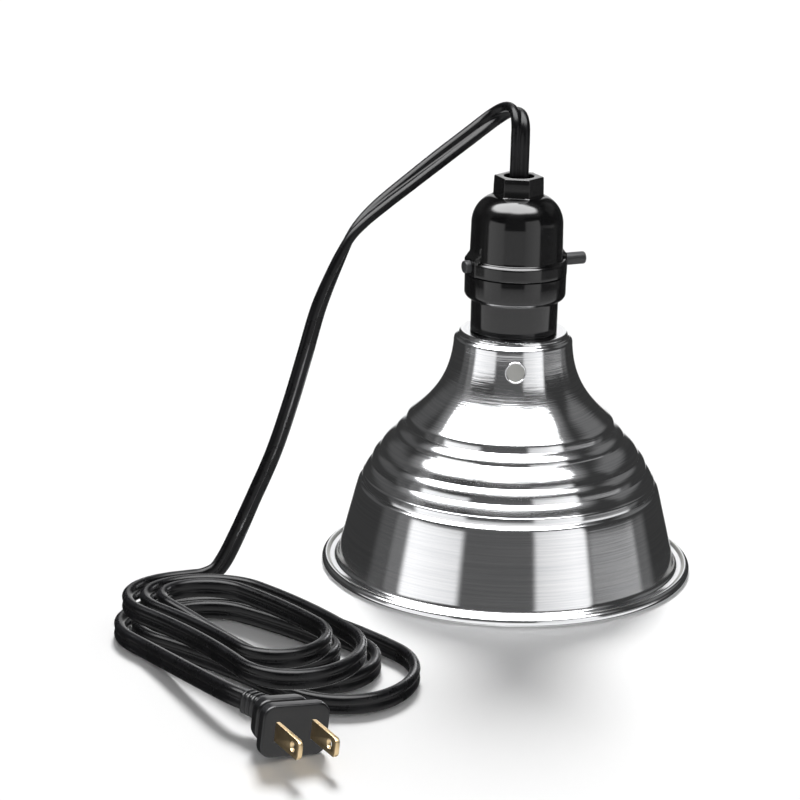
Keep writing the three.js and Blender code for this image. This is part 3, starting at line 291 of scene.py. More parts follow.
def catmull_rom(points, step):
    """A centripetal curve through the points, sampled about every step, and how far along them each sample is."""
    points = [np.asarray(p, float) for p in points]
    points = [2 * points[0] - points[1], *points, 2 * points[-1] - points[-2]]
    line, passed = [], []
    for i, (p0, p1, p2, p3) in enumerate(zip(points, points[1:], points[2:], points[3:])):
        t0 = 0.0
        t1 = t0 + math.sqrt(np.linalg.norm(p1 - p0))
        t2 = t1 + math.sqrt(np.linalg.norm(p2 - p1))
        t3 = t2 + math.sqrt(np.linalg.norm(p3 - p2))
        count = max(2, round(np.linalg.norm(p2 - p1) / step))
        for share in np.arange(count) / count:
            t = t1 + (t2 - t1) * share
            a1 = p0 * (t1 - t) / (t1 - t0) + p1 * (t - t0) / (t1 - t0)
            a2 = p1 * (t2 - t) / (t2 - t1) + p2 * (t - t1) / (t2 - t1)
            a3 = p2 * (t3 - t) / (t3 - t2) + p3 * (t - t2) / (t3 - t2)
            b1 = a1 * (t2 - t) / (t2 - t0) + a2 * (t - t0) / (t2 - t0)
            b2 = a2 * (t3 - t) / (t3 - t1) + a3 * (t - t1) / (t3 - t1)
            line.append(b1 * (t2 - t) / (t2 - t1) + b2 * (t - t1) / (t2 - t1))
            passed.append(i + share)
    line.append(points[-2])
    passed.append(len(points) - 3)
    return np.array(line), np.array(passed)


def resampled(line, step):
    """The line cut into even steps. Columns past the third ride along."""
    lengths = np.concatenate([[0], np.cumsum(np.linalg.norm(np.diff(line[:, :3], axis=0), axis=1))])
    count = max(2, round(lengths[-1] / step))
    at = np.linspace(0, lengths[-1], count + 1)
    return np.stack([np.interp(at, lengths, column) for column in line.T], 1)


# Plug, whose face is at its own origin and whose blades point along its own +Z

PLUG_AZIMUTH, PLUG_ROLL = -59.5, 6.0
FACE_CENTRE = (-63.4, -192.0)
FACE_WIDTH, FACE_HEIGHT, FACE_CORNER = 23.2, 17.4, 4.0
FLOOR_GAP = 0.1
PLUG_DEPTH = 14.0
RELIEF_LENGTH = 14.0
RELIEF_SWING, RELIEF_BEND = math.radians(21.5), 3.0  # how far the relief turns aside, and over what depth


def plug_height():
    """How high the face's centre is when the leaning flange rests on one corner."""
    lean = math.radians(PLUG_ROLL)
    up = (FACE_HEIGHT / 2 - FACE_CORNER) * math.cos(lean)
    aside = (FACE_WIDTH / 2 - FACE_CORNER) * math.sin(lean)
    return FACE_CORNER + up + aside + FLOOR_GAP


def plug_matrix():
    turn = (
        Matrix.Rotation(math.radians(PLUG_AZIMUTH + 90), 4, "Z")
        @ Matrix.Rotation(math.radians(PLUG_ROLL), 4, "Y")
        @ Matrix.Rotation(math.pi / 2, 4, "X")
    )
    return Matrix.Translation((*FACE_CENTRE, plug_height())) @ turn


PLUG_PLACE = plug_matrix()


def relief_axis(depth):
    """The middle of the strain relief so deep behind the moulding, and the way that it runs there."""
    radius = RELIEF_BEND / RELIEF_SWING
    angle = RELIEF_SWING * min(max(depth / RELIEF_BEND, 0.0), 1.0)
    past = max(depth - RELIEF_BEND, 0.0) + min(depth, 0.0)
    way = Vector((-math.sin(angle), 0.0, -math.cos(angle)))
    place = Vector((-radius * (1 - math.cos(angle)), 0.0, -PLUG_DEPTH - radius * math.sin(angle)))
    return place + way * past, way


def beside(heading):
    """The level way at right angles to a heading."""
    return np.stack([-heading[..., 1], heading[..., 0], 0 * heading[..., 2]], -1)


def cord_route():
    """The line of the cord's middle from lampholder to plug, and the way that its flat side faces at each point."""
    start, heading = pile_point(0), pile_heading(0)
    landing = start - (CORD_WIDTH + CLEARANCE) * heading
    before = landing - CORD_THICKNESS / 2 * heading
    side = beside(heading)
    drop, passed = catmull_rom([*(place for place, _ in DROP), before, landing, start], CURVE_STEP)
    facings = np.array([*(facing for _, facing in DROP), side, side, side], float)
    drop_facings = np.stack([np.interp(passed, np.arange(len(facings)), column) for column in facings.T], 1)
    samples = round(PILE_TURNS * PILE_SAMPLES_A_TURN) + 1
    pile = np.array([pile_point(t) for t in np.linspace(0, PILE_TURNS, samples)])
    heading = pile_heading(PILE_TURNS)
    leaving = pile[-1] + CLEARANCE * heading
    after = leaving + CORD_WIDTH * heading
    end, way = relief_axis(RELIEF_LENGTH)
    arriving = np.array(PLUG_PLACE @ (end + way * CLEARANCE))
    near = np.array(PLUG_PLACE @ (end + way * (CLEARANCE + CORD_WIDTH)))
    inside = np.array(PLUG_PLACE @ (end - way * CORD_INSIDE_RELIEF))
    tail, _ = catmull_rom([pile[-1], leaving, after, near, arriving, inside], CURVE_STEP)
    laid = np.concatenate([pile[:-1], tail])
    laid_facings = beside(np.gradient(laid, axis=0))
    laid_facings /= np.linalg.norm(laid_facings, axis=1)[:, None]
    columns = np.concatenate([np.hstack([drop[:-1], drop_facings[:-1]]), np.hstack([laid, laid_facings])])
    route = resampled(columns, ROUTE_STEP)
    return route[:, :3], route[:, 3:]


def cord_section():
    """Outline of a flat twin cord, as (across the width, out of the flat side)."""
    radius, offset = CORD_THICKNESS / 2, (CORD_WIDTH - CORD_THICKNESS) / 2
    lobe_angle, lobe_points = 128, 15
    groove_half, web_half = 0.3, 1.16
    ring = []
    for side in (1, -1):
        for angle in np.radians(np.linspace(-lobe_angle, lobe_angle, lobe_points)):
            ring.append((side * (offset + radius * math.cos(angle)), side * radius * math.sin(angle)))
        ring.append((side * groove_half, side * web_half))
        ring.append((-side * groove_half, side * web_half))
    return ring


def make_cord():
    line, facings = cord_route()
    ways = np.gradient(line, axis=0)
    ways /= np.linalg.norm(ways, axis=1)[:, None]
    across = np.cross(facings, ways)
    across /= np.linalg.norm(across, axis=1)[:, None]
    out = np.cross(ways, across)
    section = cord_section()
    rings = [[place + x * a + y * o for x, y in section] for place, a, o in zip(line, across, out)]
    return tube_mesh("power_cord", rings, 60), line


cord, cord_line = make_cord()


# Reflector: its outlines are (radius, height)

WALL = 0.8
LIP = [
    (15.5, 92.0), (19.3, 92.0), (19.75, 91.93), (20.1, 91.7), (20.28, 91.3), (20.3, 90.95), (20.38, 90.6),
    (20.6, 90.3), (20.9, 90.08), (21.3, 89.9), (21.7, 89.6), (22.0, 89.15),
]
LIP_INSIDE = [(15.5, 91.2), (19.5, 91.2), (20.6, 89.6), (21.4, 87.7)]
FLARE_CONTROLS = [(22.2, 88.5), (22.995, 75.942), (27.288, 67.7195), (37.9, 59.1)]
RISER = [(38.5, 58.5), (38.85, 57.9), (39.1, 57.2), (39.3, 56.4), (39.45, 55.5)]
RINGS = [  # the bulge of each ring and the notch below it
    ((42.9, 53.9), (43.2, 51.6)), ((47.6, 48.9), (49.0, 45.0)), ((51.5, 43.6), (52.0, 40.0)),
    ((53.4, 39.0), (54.75, 36.0)), ((55.35, 35.6), (55.35, 33.0)),
]
SHOULDER = [(55.75, 32.8), (56.3, 32.5), (56.6, 32.25), (56.8, 31.9), (57.1, 31.15), (57.4, 30.2)]
SKIRT = [
    (57.55, 29.65), (57.75, 29.0), (58.2, 27.2), (60.6, 17.7), (63.2, 7.0), (63.55, 5.55), (63.72, 4.7),
    (63.98, 3.9), (64.35, 3.2), (64.85, 2.78), (65.4, 2.61),
]
ROLL_CENTRE, ROLL_RADIUS = (68.3, 1.59), 1.7
VENT_RADIUS, VENT_HEIGHT, VENT_AZIMUTH = 3.65, 81.5, -86.5


def bezier(points, steps):
    points = [np.asarray(p, float) for p in points]
    line = []
    for t in np.linspace(0, 1, steps + 1):
        level = points
        while len(level) > 1:
            level = [a + (b - a) * t for a, b in zip(level, level[1:])]
        line.append(tuple(level[0]))
    return line


def flare_line(steps):
    return bezier(FLARE_CONTROLS, steps)


def ring_line(steps):
    """From the flare's foot to the skirt's top: a riser, then each rounded ring from one notch to the next."""
    line = [*RISER]
    for bulge, notch in RINGS:
        line += bezier([line[-1], bulge, notch], steps)[1:]
    return [*line, *SHOULDER]


def moved_in(line, wall):
    """The line moved to its inner side, at right angles to itself."""
    moved = []
    for i, (radius, height) in enumerate(line):
        before, after = line[max(i - 1, 0)], line[min(i + 1, len(line) - 1)]
        dr, dz = after[0] - before[0], after[1] - before[1]
        size = math.hypot(dr, dz) or 1.0
        moved.append((radius + dz / size * wall, height - dr / size * wall))
    return moved


def neck_radius_at(height):
    line = flare_line(60)
    return float(np.interp(-height, [-z for _, z in line], [r for r, _ in line]))


def vent_rim(centre, way, side):
    """A fine bright edge round one mouth of the vent, on the neck's surface."""
    up = Vector((0, 0, 1))
    around, wire_around = 72, 12
    sunk, inset = 0.12, 0.03
    wire_width, wire_height = 0.34, 0.3
    rings = []
    for a in turn_angles(around):
        spoke = side * math.cos(a) + up * math.sin(a)
        neck = neck_radius_at(VENT_HEIGHT + VENT_RADIUS * math.sin(a))
        aside = VENT_RADIUS * math.cos(a)
        reach = math.sqrt(max(neck ** 2 - aside ** 2, 1.0))
        middle = centre + way * (reach - sunk) + spoke * (VENT_RADIUS - inset)
        rings.append(round_ring(middle, spoke, way, wire_width, wire_height, wire_around))
    return mesh_object("vent_rim", np.array(rings).reshape(-1, 3), grid_faces(around, wire_around), 80)


def make_reflector():
    around, sharp, tool_reach = 256, 32, 60
    outside = [*LIP, *flare_line(44), *ring_line(14), *SKIRT]
    roll = [
        *arc(ROLL_CENTRE, (ROLL_RADIUS, ROLL_RADIUS), 143.6, -69.5, 22),
        *arc(ROLL_CENTRE, (ROLL_RADIUS, ROLL_RADIUS), -110.6, -180, 7),
    ]
    inside = [*LIP_INSIDE, *moved_in([*flare_line(30)[1:], *ring_line(10), *SKIRT], WALL)]
    bell = lathe("bell", [*outside, *roll, *inside[::-1]], around, sharp)
    azimuth = math.radians(VENT_AZIMUTH)
    way = Vector((math.cos(azimuth), math.sin(azimuth), 0))
    side = Vector((-way.y, way.x, 0))
    centre = Vector((0, 0, VENT_HEIGHT))
    cut(bell, cylinder("vent", VENT_RADIUS, centre - way * tool_reach, centre + way * tool_reach, 64))
    shade(bell.data, sharp)
    return join("reflector_bell", [bell, vent_rim(centre, way, side), vent_rim(centre, -way, side)])


reflector = make_reflector()


# Lampholder

ROD_AZIMUTH, ROD_HEIGHT, ROD_RADIUS = 27.0, 117.5, 2.35
AXIS = Vector((math.cos(math.radians(ROD_AZIMUTH)), math.sin(math.radians(ROD_AZIMUTH)), 0))
NECK_FOOT = 143.2


def make_body():
    outline = [
        (13.75, 84.2), (14.0, 84.0), (14.95, 84.0), (15.2, 84.25), (15.2, 91.8), (15.25, 92.3), (15.95, 92.3),
        (16.17, 92.38), (16.25, 92.6), (16.25, 103.7), (16.3, 104.0), (16.45, 104.22), (16.75, 104.36),
        *arc((16.3, 106.9), (2.6, 2.6), -74, 0, 12),
        (18.9, 110.5), (18.9, 113.45), (18.84, 113.68), (18.68, 113.82), (18.4, 113.85),
        (15.3, 113.85), (15.3, 106.6), (14.0, 106.6), (13.75, 106.4),
    ]
    return lathe("lampholder_body", outline, 192, 30)


def hexagon(angles, shrink):
    """Radii of the neck's hexagon, whose corners are cut round."""
    corner_radius, cut_radius, turn, sector_width = 9.4, 9.32, math.radians(-94.5), math.pi / 3
    sector = (angles - turn + sector_width / 2) % sector_width - sector_width / 2
    flat = (corner_radius * math.cos(sector_width / 2) - shrink) / np.cos(sector)
    return np.minimum(flat, cut_radius - shrink)


def with_bosses(angles, radii, height):
    """The cap's radii, pushed out to a flat face round each end of the rod."""
    boss_heights = [114.15, 115.4, 120.2, 120.6, 122.8]
    boss_reaches = [19.05, 19.2, 19.2, 18.95, 17.1]
    half_width, half_width_at_foot = 4.1, 4.65
    widest = 0.6  # radians
    for rod_way in (0.0, 180.0):
        off = (angles - math.radians(ROD_AZIMUTH + rod_way) + math.pi) % (2 * math.pi) - math.pi
        face = np.interp(height, boss_heights, boss_reaches) / np.cos(np.clip(off, -widest, widest))
        share = 1 - smoothstep(np.abs(face * np.sin(off)), half_width, half_width_at_foot)
        share = np.where(np.abs(off) < widest, share, 0.0)
        radii = radii + share * np.maximum(face - radii, 0)
    return radii


def make_cap():
    band = [
        (15.3, 114.15), (18.6, 114.15), (18.9, 114.2), (19.03, 114.36), (19.05, 114.6), (19.05, 115.4),
        (19.05, 116.4), (19.05, 117.4), (19.05, 118.2), (19.05, 118.45), (18.97, 118.7), (18.25, 119.42),
        (18.0, 119.54), (17.7, 119.6), (17.5, 119.7), (17.36, 119.9), (17.3, 120.3),
    ]
    dome_foot, dome_centre, dome_radii = 132.5, 7.4, (9.65, 10.9)
    foot_radius, foot_height = band[-1]
    inward = foot_radius - dome_centre - dome_radii[0]
    side = [(foot_radius - inward * (z - foot_height) / (dome_foot - foot_height), z)
            for z in (*np.arange(120.7, 125.6, 0.4), 126.5, 128, 130, 131.5)]
    dome = arc((dome_centre, dome_foot), dome_radii, 0, 74, 26)
    neck = [  # how far in from the hexagon, and the height, above the neck's foot or, without one, on the dome
        (-0.8, None), (-0.42, None), (-0.2, 0.12), (-0.06, 0.35), (0.0, 0.7), (0.06, 3.0), (0.12, 5.0),
        (0.2, NECK_TOP - NECK_FOOT - 0.4), (0.26, NECK_TOP - NECK_FOOT - 0.16), (0.42, NECK_TOP - NECK_FOOT - 0.03),
        (0.7, NECK_TOP - NECK_FOOT),
    ]
    inside = [
        (5.95, NECK_TOP), (5.7, NECK_TOP - 0.06), (5.54, NECK_TOP - 0.22), (5.5, NECK_TOP - 0.5), (5.5, 144.0),
        (5.5, 141.1), *arc((dome_centre, dome_foot), (7.6, 8.6), 90, 0, 10), (15.3, 117.3),
    ]
    bosses_end = 124.9
    around, sharp = 384, 32
    angles = turn_angles(around)
    places = [turned_row(band[0][0], angles, band[0][1])]
    for radius, height in [*band[1:], *side]:
        radii = np.full(around, float(radius))
        if height < bosses_end:
            radii = with_bosses(angles, radii, height)
        places.append(turned_row(radii, angles, height))
    places += [turned_row(radius, angles, height) for radius, height in dome]
    for shrink, rise in neck:
        radii = hexagon(angles, shrink)
        if rise is None:
            share = np.clip((radii - dome_centre) / dome_radii[0], 0, 1)
            places.append(turned_row(radii, angles, dome_foot + dome_radii[1] * np.sqrt(1 - share ** 2)))
        else:
            places.append(turned_row(radii, angles, NECK_FOOT + rise))
    places += [turned_row(radius, angles, height) for radius, height in inside]
    cap = mesh_object("lampholder_cap", np.concatenate(places), grid_faces(len(places), around), sharp)
    centre, tool_reach = Vector((0, 0, ROD_HEIGHT)), 24
    cut(cap, cylinder("rod_hole", ROD_RADIUS + CLEARANCE, centre - AXIS * tool_reach, centre + AXIS * tool_reach))
    shade(cap.data, sharp)
    return cap


def make_rod():
    travel = 7.0
    end = [(-25, 0.6), (-25, 1.6), (-24.97, 1.98), (-24.86, 2.2), (-24.65, 2.32), (-24.3, ROD_RADIUS)]
    profile = [*end, *((x, ROD_RADIUS) for x in np.linspace(-20, 20, 9)), *((-x, r) for x, r in end[::-1])]
    up = Vector((0, 0, 1))
    side = up.cross(AXIS)
    rings = [round_ring(AXIS * (travel / 2 + x) + up * ROD_HEIGHT, side, up, r, r, 64) for x, r in profile]
    return tube_mesh("rod_switch_button", rings, 35)


def make_screw_shell():
    """A thin rolled sheet with a helical thread, open below, and with a hole for the contact in its top."""
    pitch, top, mouth, wall = 3.63, 106.6, 85.3, 0.45
    mean_radius, thread_depth, flatness = 12.8, 0.5, 1.6
    around, steps = 96, 88
    angles = turn_angles(around)

    def thread(height, inset):
        wave = np.cos(2 * np.pi * height / pitch - angles)
        return mean_radius + thread_depth * np.tanh(flatness * wave) / math.tanh(flatness) - inset

    heights = np.arange(mouth, top + 1e-6, (top - mouth) / steps)
    hole = [(6.5, top), (6.3, top - 0.1), (6.3, top - 0.35), (6.5, top - wall)]
    places = [turned_row(thread(height, 0.0), angles, height) for height in heights]
    places += [turned_row(radius, angles, height) for radius, height in hole]
    places += [turned_row(thread(height, wall), angles, min(height, top - wall)) for height in heights[::-1]]
    return mesh_object("threaded_shell", np.concatenate(places), grid_faces(len(places), around), 50)


def make_nut():
    radius = 18.6
    top = LIP[0][1] - WALL - CLEARANCE
    foot = top - 4.5
    outline = [
        (15.5, foot + 0.25), (15.75, foot), (radius - 0.3, foot), (radius, foot + 0.3), (radius, top - 1.2),
        (radius, top - 1.0), (radius, top - 0.2), (radius - 0.2, top), (15.5, top),
    ]

    def slotted(row, angles, radii):
        """Spanner slots, in the lower part of the outer side."""
        if row not in (2, 3, 4):
            return radii
        every, half_width, depth = math.pi / 4, 1.35, 1.1
        off = (angles + every / 2) % every - every / 2
        return radii - depth * (1 - smoothstep(np.abs(off) * radius, half_width, half_width + 0.3))

    return lathe("lock_ring", outline, 320, 32, slotted)


body = make_body()
cap = make_cap()
rod = make_rod()
screw_shell = make_screw_shell()
nut = make_nut()


# Plug

BLADE_OFFSET = 6.35  # of each blade's middle, from the plug's


def rounded_rectangle(width, height, corner, steps=9):
    x, y = width / 2 - corner, height / 2 - corner
    ring = []
    for cx, cy, start in ((x, y, 0), (-x, y, 90), (-x, -y, 180), (x, -y, 270)):
        ring += arc((cx, cy), (corner, corner), start, start + 90, steps)
    return ring


def rounded_edge(depth, width, height, corner, round_off, ahead):
    """Rows (depth, width, height, corner) round an edge, widening up to the depth (ahead) or narrowing behind it."""
    rows = []
    for angle in np.radians([0, 25, 50, 75, 90]):
        inset = round_off * (1 - math.sin(angle)) if ahead else round_off * (1 - math.cos(angle))
        step = round_off * (1 - math.cos(angle)) if ahead else round_off * math.sin(angle)
        rows.append((depth - step, width - 2 * inset, height - 2 * inset, corner - inset))
    return rows


def moulding_rings():
    """The face's flange, the waist, and the grip behind it."""
    flange = (FACE_WIDTH, FACE_HEIGHT, FACE_CORNER)
    rows = [
        (0.0, 12.0, 7.0, 1.6), (0.0, 18.0, 12.2, 2.6), *rounded_edge(0.0, *flange, 0.8, True), (-2.0, *flange),
        *rounded_edge(-3.2, *flange, 0.8, False),
        (-4.05, 19.5, 14.6, 4.0), (-4.2, 16.2, 12.0, 4.3), (-4.6, 14.9, 10.9, 4.5), (-5.4, 14.5, 10.5, 4.6),
        (-6.6, 14.5, 10.5, 4.6), (-8.0, 14.9, 10.9, 4.6), (-8.7, 15.9, 11.8, 4.6),
        *rounded_edge(-9.0, 19.0, 14.6, 4.6, 0.9, True), (-11.4, 18.9, 14.5, 4.6),
        *rounded_edge(-12.9, 18.6, 14.2, 4.5, 1.1, False),
    ]
    return [[(x, y, depth) for x, y in rounded_rectangle(width, height, min(corner, height / 2 - 0.2))]
            for depth, width, height, corner in rows]


def relief_rings():
    """The ribbed strain relief, which tapers from the moulding's size to the cord's."""
    rib_count, rib_pitch = 5, 2.2
    rib = [(0, 0.05), (0.22, 0.45), (0.5, 0.62), (0.85, 0.62), (1.1, 0.45), (1.3, 0.08), (1.55, 0.0), (2.0, 0.0)]
    start_size, end_size, corner_share = (9.5, 8.6), (6.6, 7.8), 0.36
    root_flare, root_flare_depth = 1.4, 0.5
    rows = [(-0.1, 0.0), (0.6, 0.0), (1.5, 0.0), (2.3, 0.0)]
    for i in range(rib_count):
        rows += [(RELIEF_BEND + i * rib_pitch + along, inset) for along, inset in rib]
    rows.append((RELIEF_LENGTH, 0.12))
    rings = []
    for depth, inset in rows:
        share = depth / RELIEF_LENGTH
        width, height = (a + (b - a) * share - 2 * inset for a, b in zip(start_size, end_size))
        near_root = inset == 0.0 and depth < 2
        flare = root_flare * math.exp(-max(depth, 0) / root_flare_depth) if near_root else 0.0
        place, way = relief_axis(depth)
        ring = rounded_rectangle(width + flare, height + flare, min(width, height) * corner_share)
        rings.append([(place.x - x * way.z, y, place.z + x * way.x) for x, y in ring])
    return rings


def make_plug_body():
    sharp = 38
    slot_outline = rounded_rectangle(width=1.95, height=6.8, corner=0.3, steps=3)
    slot_bottom, above_face = -0.7, 1.0
    moulding = tube_mesh("plug_moulding", [*moulding_rings(), *relief_rings()], sharp)
    slots = []
    for x in (-BLADE_OFFSET, BLADE_OFFSET):
        rings = [[(x + a, b, depth) for a, b in slot_outline] for depth in (slot_bottom, above_face)]
        slots.append(tube_mesh("slot", rings))
    cut(moulding, *slots)
    shade(moulding.data, sharp)
    moulding.data.transform(scaled_placement())
    return moulding


def scaled_placement():
    place = PLUG_PLACE.copy()
    place.translation *= MM
    return place


def make_blade(name, offset):
    """A flat outline with a hole, given its thickness and small bevels, and stood up in the plug."""
    curve = bpy.data.curves.new(name, "CURVE")
    curve.dimensions = "2D"
    curve.fill_mode = "BOTH"
    half, start, end, chamfer, thickness, edge = 6.35 / 2, -3, 16.5, 1.2, 1.5, 0.16
    corners = [(start, -half), (end - chamfer, -half), (end - 0.35, -half + 0.75), (end, -half + 1.4),
               (end, half - 1.4), (end - 0.35, half - 0.75), (end - chamfer, half), (start, half)]
    hole_middle, hole_radius = 12.3, 1.6
    hole = [(hole_middle + hole_radius * math.cos(a), hole_radius * math.sin(a)) for a in -turn_angles(40)]
    for ring in (corners, hole):
        spline = curve.splines.new("POLY")
        spline.points.add(len(ring) - 1)
        for point, (x, y) in zip(spline.points, ring):
            point.co = (x, y, 0, 1)
        spline.use_cyclic_u = True
    curve.extrude = thickness / 2 - edge
    curve.bevel_depth = edge
    curve.bevel_resolution = 2
    curve.offset = -edge
    flat = bpy.data.objects.new(name + "_flat", curve)
    scene.collection.objects.link(flat)
    mesh = bpy.data.meshes.new_from_object(flat.evaluated_get(bpy.context.evaluated_depsgraph_get()))
    bpy.data.objects.remove(flat)
    bpy.data.curves.remove(curve)
    bm = bmesh.new()
    bm.from_mesh(mesh)
    bmesh.ops.remove_doubles(bm, verts=bm.verts, dist=1e-3)
    bmesh.ops.recalc_face_normals(bm, faces=bm.faces)
    bm.to_mesh(mesh)
    bm.free()
    standing = Matrix.Rotation(-math.pi / 2, 4, "Y")
    mesh.transform(Matrix.Translation((offset, 0, 0)) @ standing)
    mesh.transform(Matrix.Scale(MM, 4))
    mesh.transform(scaled_placement())
    shade(mesh, 40)
    blade = bpy.data.objects.new(name, mesh)
    scene.collection.objects.link(blade)
    return blade


plug = make_plug_body()
blades = [make_blade("brass_blade_left", -BLADE_OFFSET), make_blade("brass_blade_right", BLADE_OFFSET)]


# Materials: noise scales are per metre, and bump depths are in metres

class Tree:
    """A node tree that is built from calls. Wherever a number is wanted, a socket may be given to link instead."""

    def __init__(self, owner):
        owner.use_nodes = True
        self.tree = owner.node_tree
        self.tree.nodes.clear()

    def add(self, kind, settings=None, **inputs):
        node = self.tree.nodes.new("ShaderNode" + kind)
        for name, value in (settings or {}).items():
            setattr(node, name, value)
        for name, value in inputs.items():
            self.put(node, name.replace("_", " "), value)
        return node

    def put(self, node, name, value):
        socket = node.inputs[int(name)] if name.isdigit() else node.inputs[name]
        if isinstance(value, bpy.types.NodeSocket):
            self.tree.links.new(value, socket)
        else:
            socket.default_value = value

    def math(self, operation, a, b=None):
        node = self.add("Math", {"operation": operation})
        self.put(node, "0", a)
        if b is not None:
            self.put(node, "1", b)
        return node.outputs[0]

    def ramp(self, value, low, high, start=0.0, end=1.0, smooth=False):
        node = self.add("MapRange", {"interpolation_type": "SMOOTHSTEP" if smooth else "LINEAR"})
        self.put(node, "Value", value)
        for name, number in (("From Min", low), ("From Max", high), ("To Min", start), ("To Max", end)):
            self.put(node, name, number)
        return node.outputs["Result"]

    def noise(self, vector, scale, detail=3.0, roughness=0.5):
        node = self.add("TexNoise", None, Scale=scale, Detail=detail, Roughness=roughness)
        self.put(node, "Vector", vector)
        return node.outputs["Fac"]

    def mix(self, share, a, b):
        node = self.add("Mix", {"data_type": "RGBA"})
        self.put(node, "0", share)
        self.put(node, "6", a)
        self.put(node, "7", b)
        return node.outputs[2]

    def bump(self, height, strength, distance):
        node = self.add("Bump", None, Strength=strength, Distance=distance)
        self.put(node, "Height", height)
        return node.outputs["Normal"]


def material(name):
    owner = bpy.data.materials.new(name)
    tree = Tree(owner)
    shader = tree.add("BsdfPrincipled")
    tree.add("OutputMaterial", Surface=shader.outputs[0])
    place = tree.add("TexCoord").outputs["Object"]
    return owner, tree, shader, place


def vector_math(tree, operation, a, b):
    node = tree.add("VectorMath", {"operation": operation})
    tree.put(node, "0", a)
    tree.put(node, "1", b)
    return node


def round_coordinates(tree, place, scale, angle_scale):
    """Scaled (radius, height, cosine of the angle), so that a pattern runs round the axis."""
    parts = tree.add("SeparateXYZ")
    tree.put(parts, "0", place)
    x, y, z = parts.outputs
    squared = tree.math("ADD", tree.math("MULTIPLY", x, x), tree.math("MULTIPLY", y, y))
    radius = tree.math("SQRT", squared)
    joined = tree.add("CombineXYZ")
    tree.put(joined, "0", tree.math("MULTIPLY", radius, scale))
    tree.put(joined, "1", tree.math("MULTIPLY", z, scale))
    around = tree.math("ARCTAN2", y, x)
    tree.put(joined, "2", tree.math("MULTIPLY", tree.math("COSINE", around), angle_scale))
    return joined.outputs[0]


def facing_the_axis(tree, place):
    """1 where the surface looks inwards, to the Z axis, and 0 elsewhere. The product is in metres from the axis."""
    flat = vector_math(tree, "MULTIPLY", place, (1.0, 1.0, 0.0)).outputs[0]
    outwards = vector_math(tree, "DOT_PRODUCT", flat, tree.add("TexCoord").outputs["Normal"])
    return tree.ramp(outwards.outputs["Value"], -0.004, -0.002, 1.0, 0.0)


def spun_aluminium():
    """Bright metal with the fine lines of spinning, deeper on the flare and the neck, and an inside that is rougher
    and coloured a darker grey, the darker grey being painted shade.
    """
    owner, tree, shader, place = material("spun_aluminium")
    lines = tree.noise(round_coordinates(tree, place, 1500.0, 1.5), 1.0, 2.0, 0.6)
    bands = tree.noise(round_coordinates(tree, place, 420.0, 1.2), 1.0, 3.0, 0.6)
    cloud = tree.noise(place, 42.0, 4.0, 0.6)
    inside = facing_the_axis(tree, place)
    bright = tree.mix(tree.ramp(lines, 0.3, 0.7), (0.78, 0.79, 0.81, 1.0), (0.91, 0.91, 0.92, 1.0))
    # Painted shade: where the surface faces the axis, its colour is a darker grey than the bright outside.
    tree.put(shader, "Base Color", tree.mix(inside, bright, (0.57, 0.57, 0.55, 1.0)))
    tree.put(shader, "Metallic", 1.0)
    tree.put(shader, "Anisotropic", 0.9)
    tree.put(shader, "Anisotropic Rotation", 0.25)
    tree.put(shader, "Tangent", tree.add("Tangent", {"direction_type": "RADIAL", "axis": "Z"}).outputs[0])
    outside_rough = tree.math("ADD", tree.ramp(bands, 0.3, 0.75, 0.09, 0.13), tree.ramp(cloud, 0.3, 0.75, 0.0, 0.03))
    tree.put(shader, "Roughness", tree.math("ADD", outside_rough, tree.math("MULTIPLY", inside, 0.33)))
    parts = tree.add("SeparateXYZ")
    tree.put(parts, "0", place)
    skirt_top, rings_top = 0.034, 0.058
    depth = tree.ramp(parts.outputs[2], skirt_top, rings_top, 0.35, 1.0)
    tree.put(shader, "Normal", tree.bump(tree.math("MULTIPLY", lines, depth), 0.65, 0.0001))
    return owner


def phenolic():
    owner, tree, shader, place = material("phenolic")
    cloud = tree.noise(place, 260.0, 4.0, 0.6)
    wave = tree.noise(place, 90.0, 2.0, 0.5)
    tree.put(shader, "Base Color", tree.mix(cloud, (0.0045, 0.0045, 0.005, 1.0), (0.009, 0.009, 0.0095, 1.0)))
    tree.put(shader, "Roughness", tree.ramp(cloud, 0.3, 0.8, 0.07, 0.15))
    tree.put(shader, "IOR", 1.55)
    tree.put(shader, "Normal", tree.bump(wave, 0.05, 0.0003))
    return owner


def moulded(name, dark, light, rough, grain=900.0, depth=0.00005, gloss=0.5):
    owner, tree, shader, place = material(name)
    tree.put(shader, "Specular IOR Level", gloss)
    fine = tree.noise(place, grain, 3.0, 0.6)
    cloud = tree.noise(place, 120.0, 4.0, 0.55)
    tree.put(shader, "Base Color", tree.mix(tree.ramp(cloud, 0.3, 0.7), (*dark, 1.0), (*light, 1.0)))
    tree.put(shader, "Roughness", tree.ramp(cloud, 0.25, 0.75, *rough))
    tree.put(shader, "Normal", tree.bump(fine, 0.35, depth))
    return owner


def metal(name, dark, light, rough):
    owner, tree, shader, place = material(name)
    brushed = tree.noise(vector_math(tree, "MULTIPLY", place, (900.0, 160.0, 160.0)).outputs[0], 1.0, 3.0, 0.6)
    cloud = tree.noise(place, 300.0, 4.0, 0.6)
    tree.put(shader, "Base Color", tree.mix(tree.ramp(cloud, 0.3, 0.75), (*dark, 1.0), (*light, 1.0)))
    tree.put(shader, "Metallic", 1.0)
    tree.put(shader, "Roughness", tree.ramp(brushed, 0.25, 0.8, *rough))
    tree.put(shader, "Normal", tree.bump(brushed, 0.4, 0.000006))
    return owner


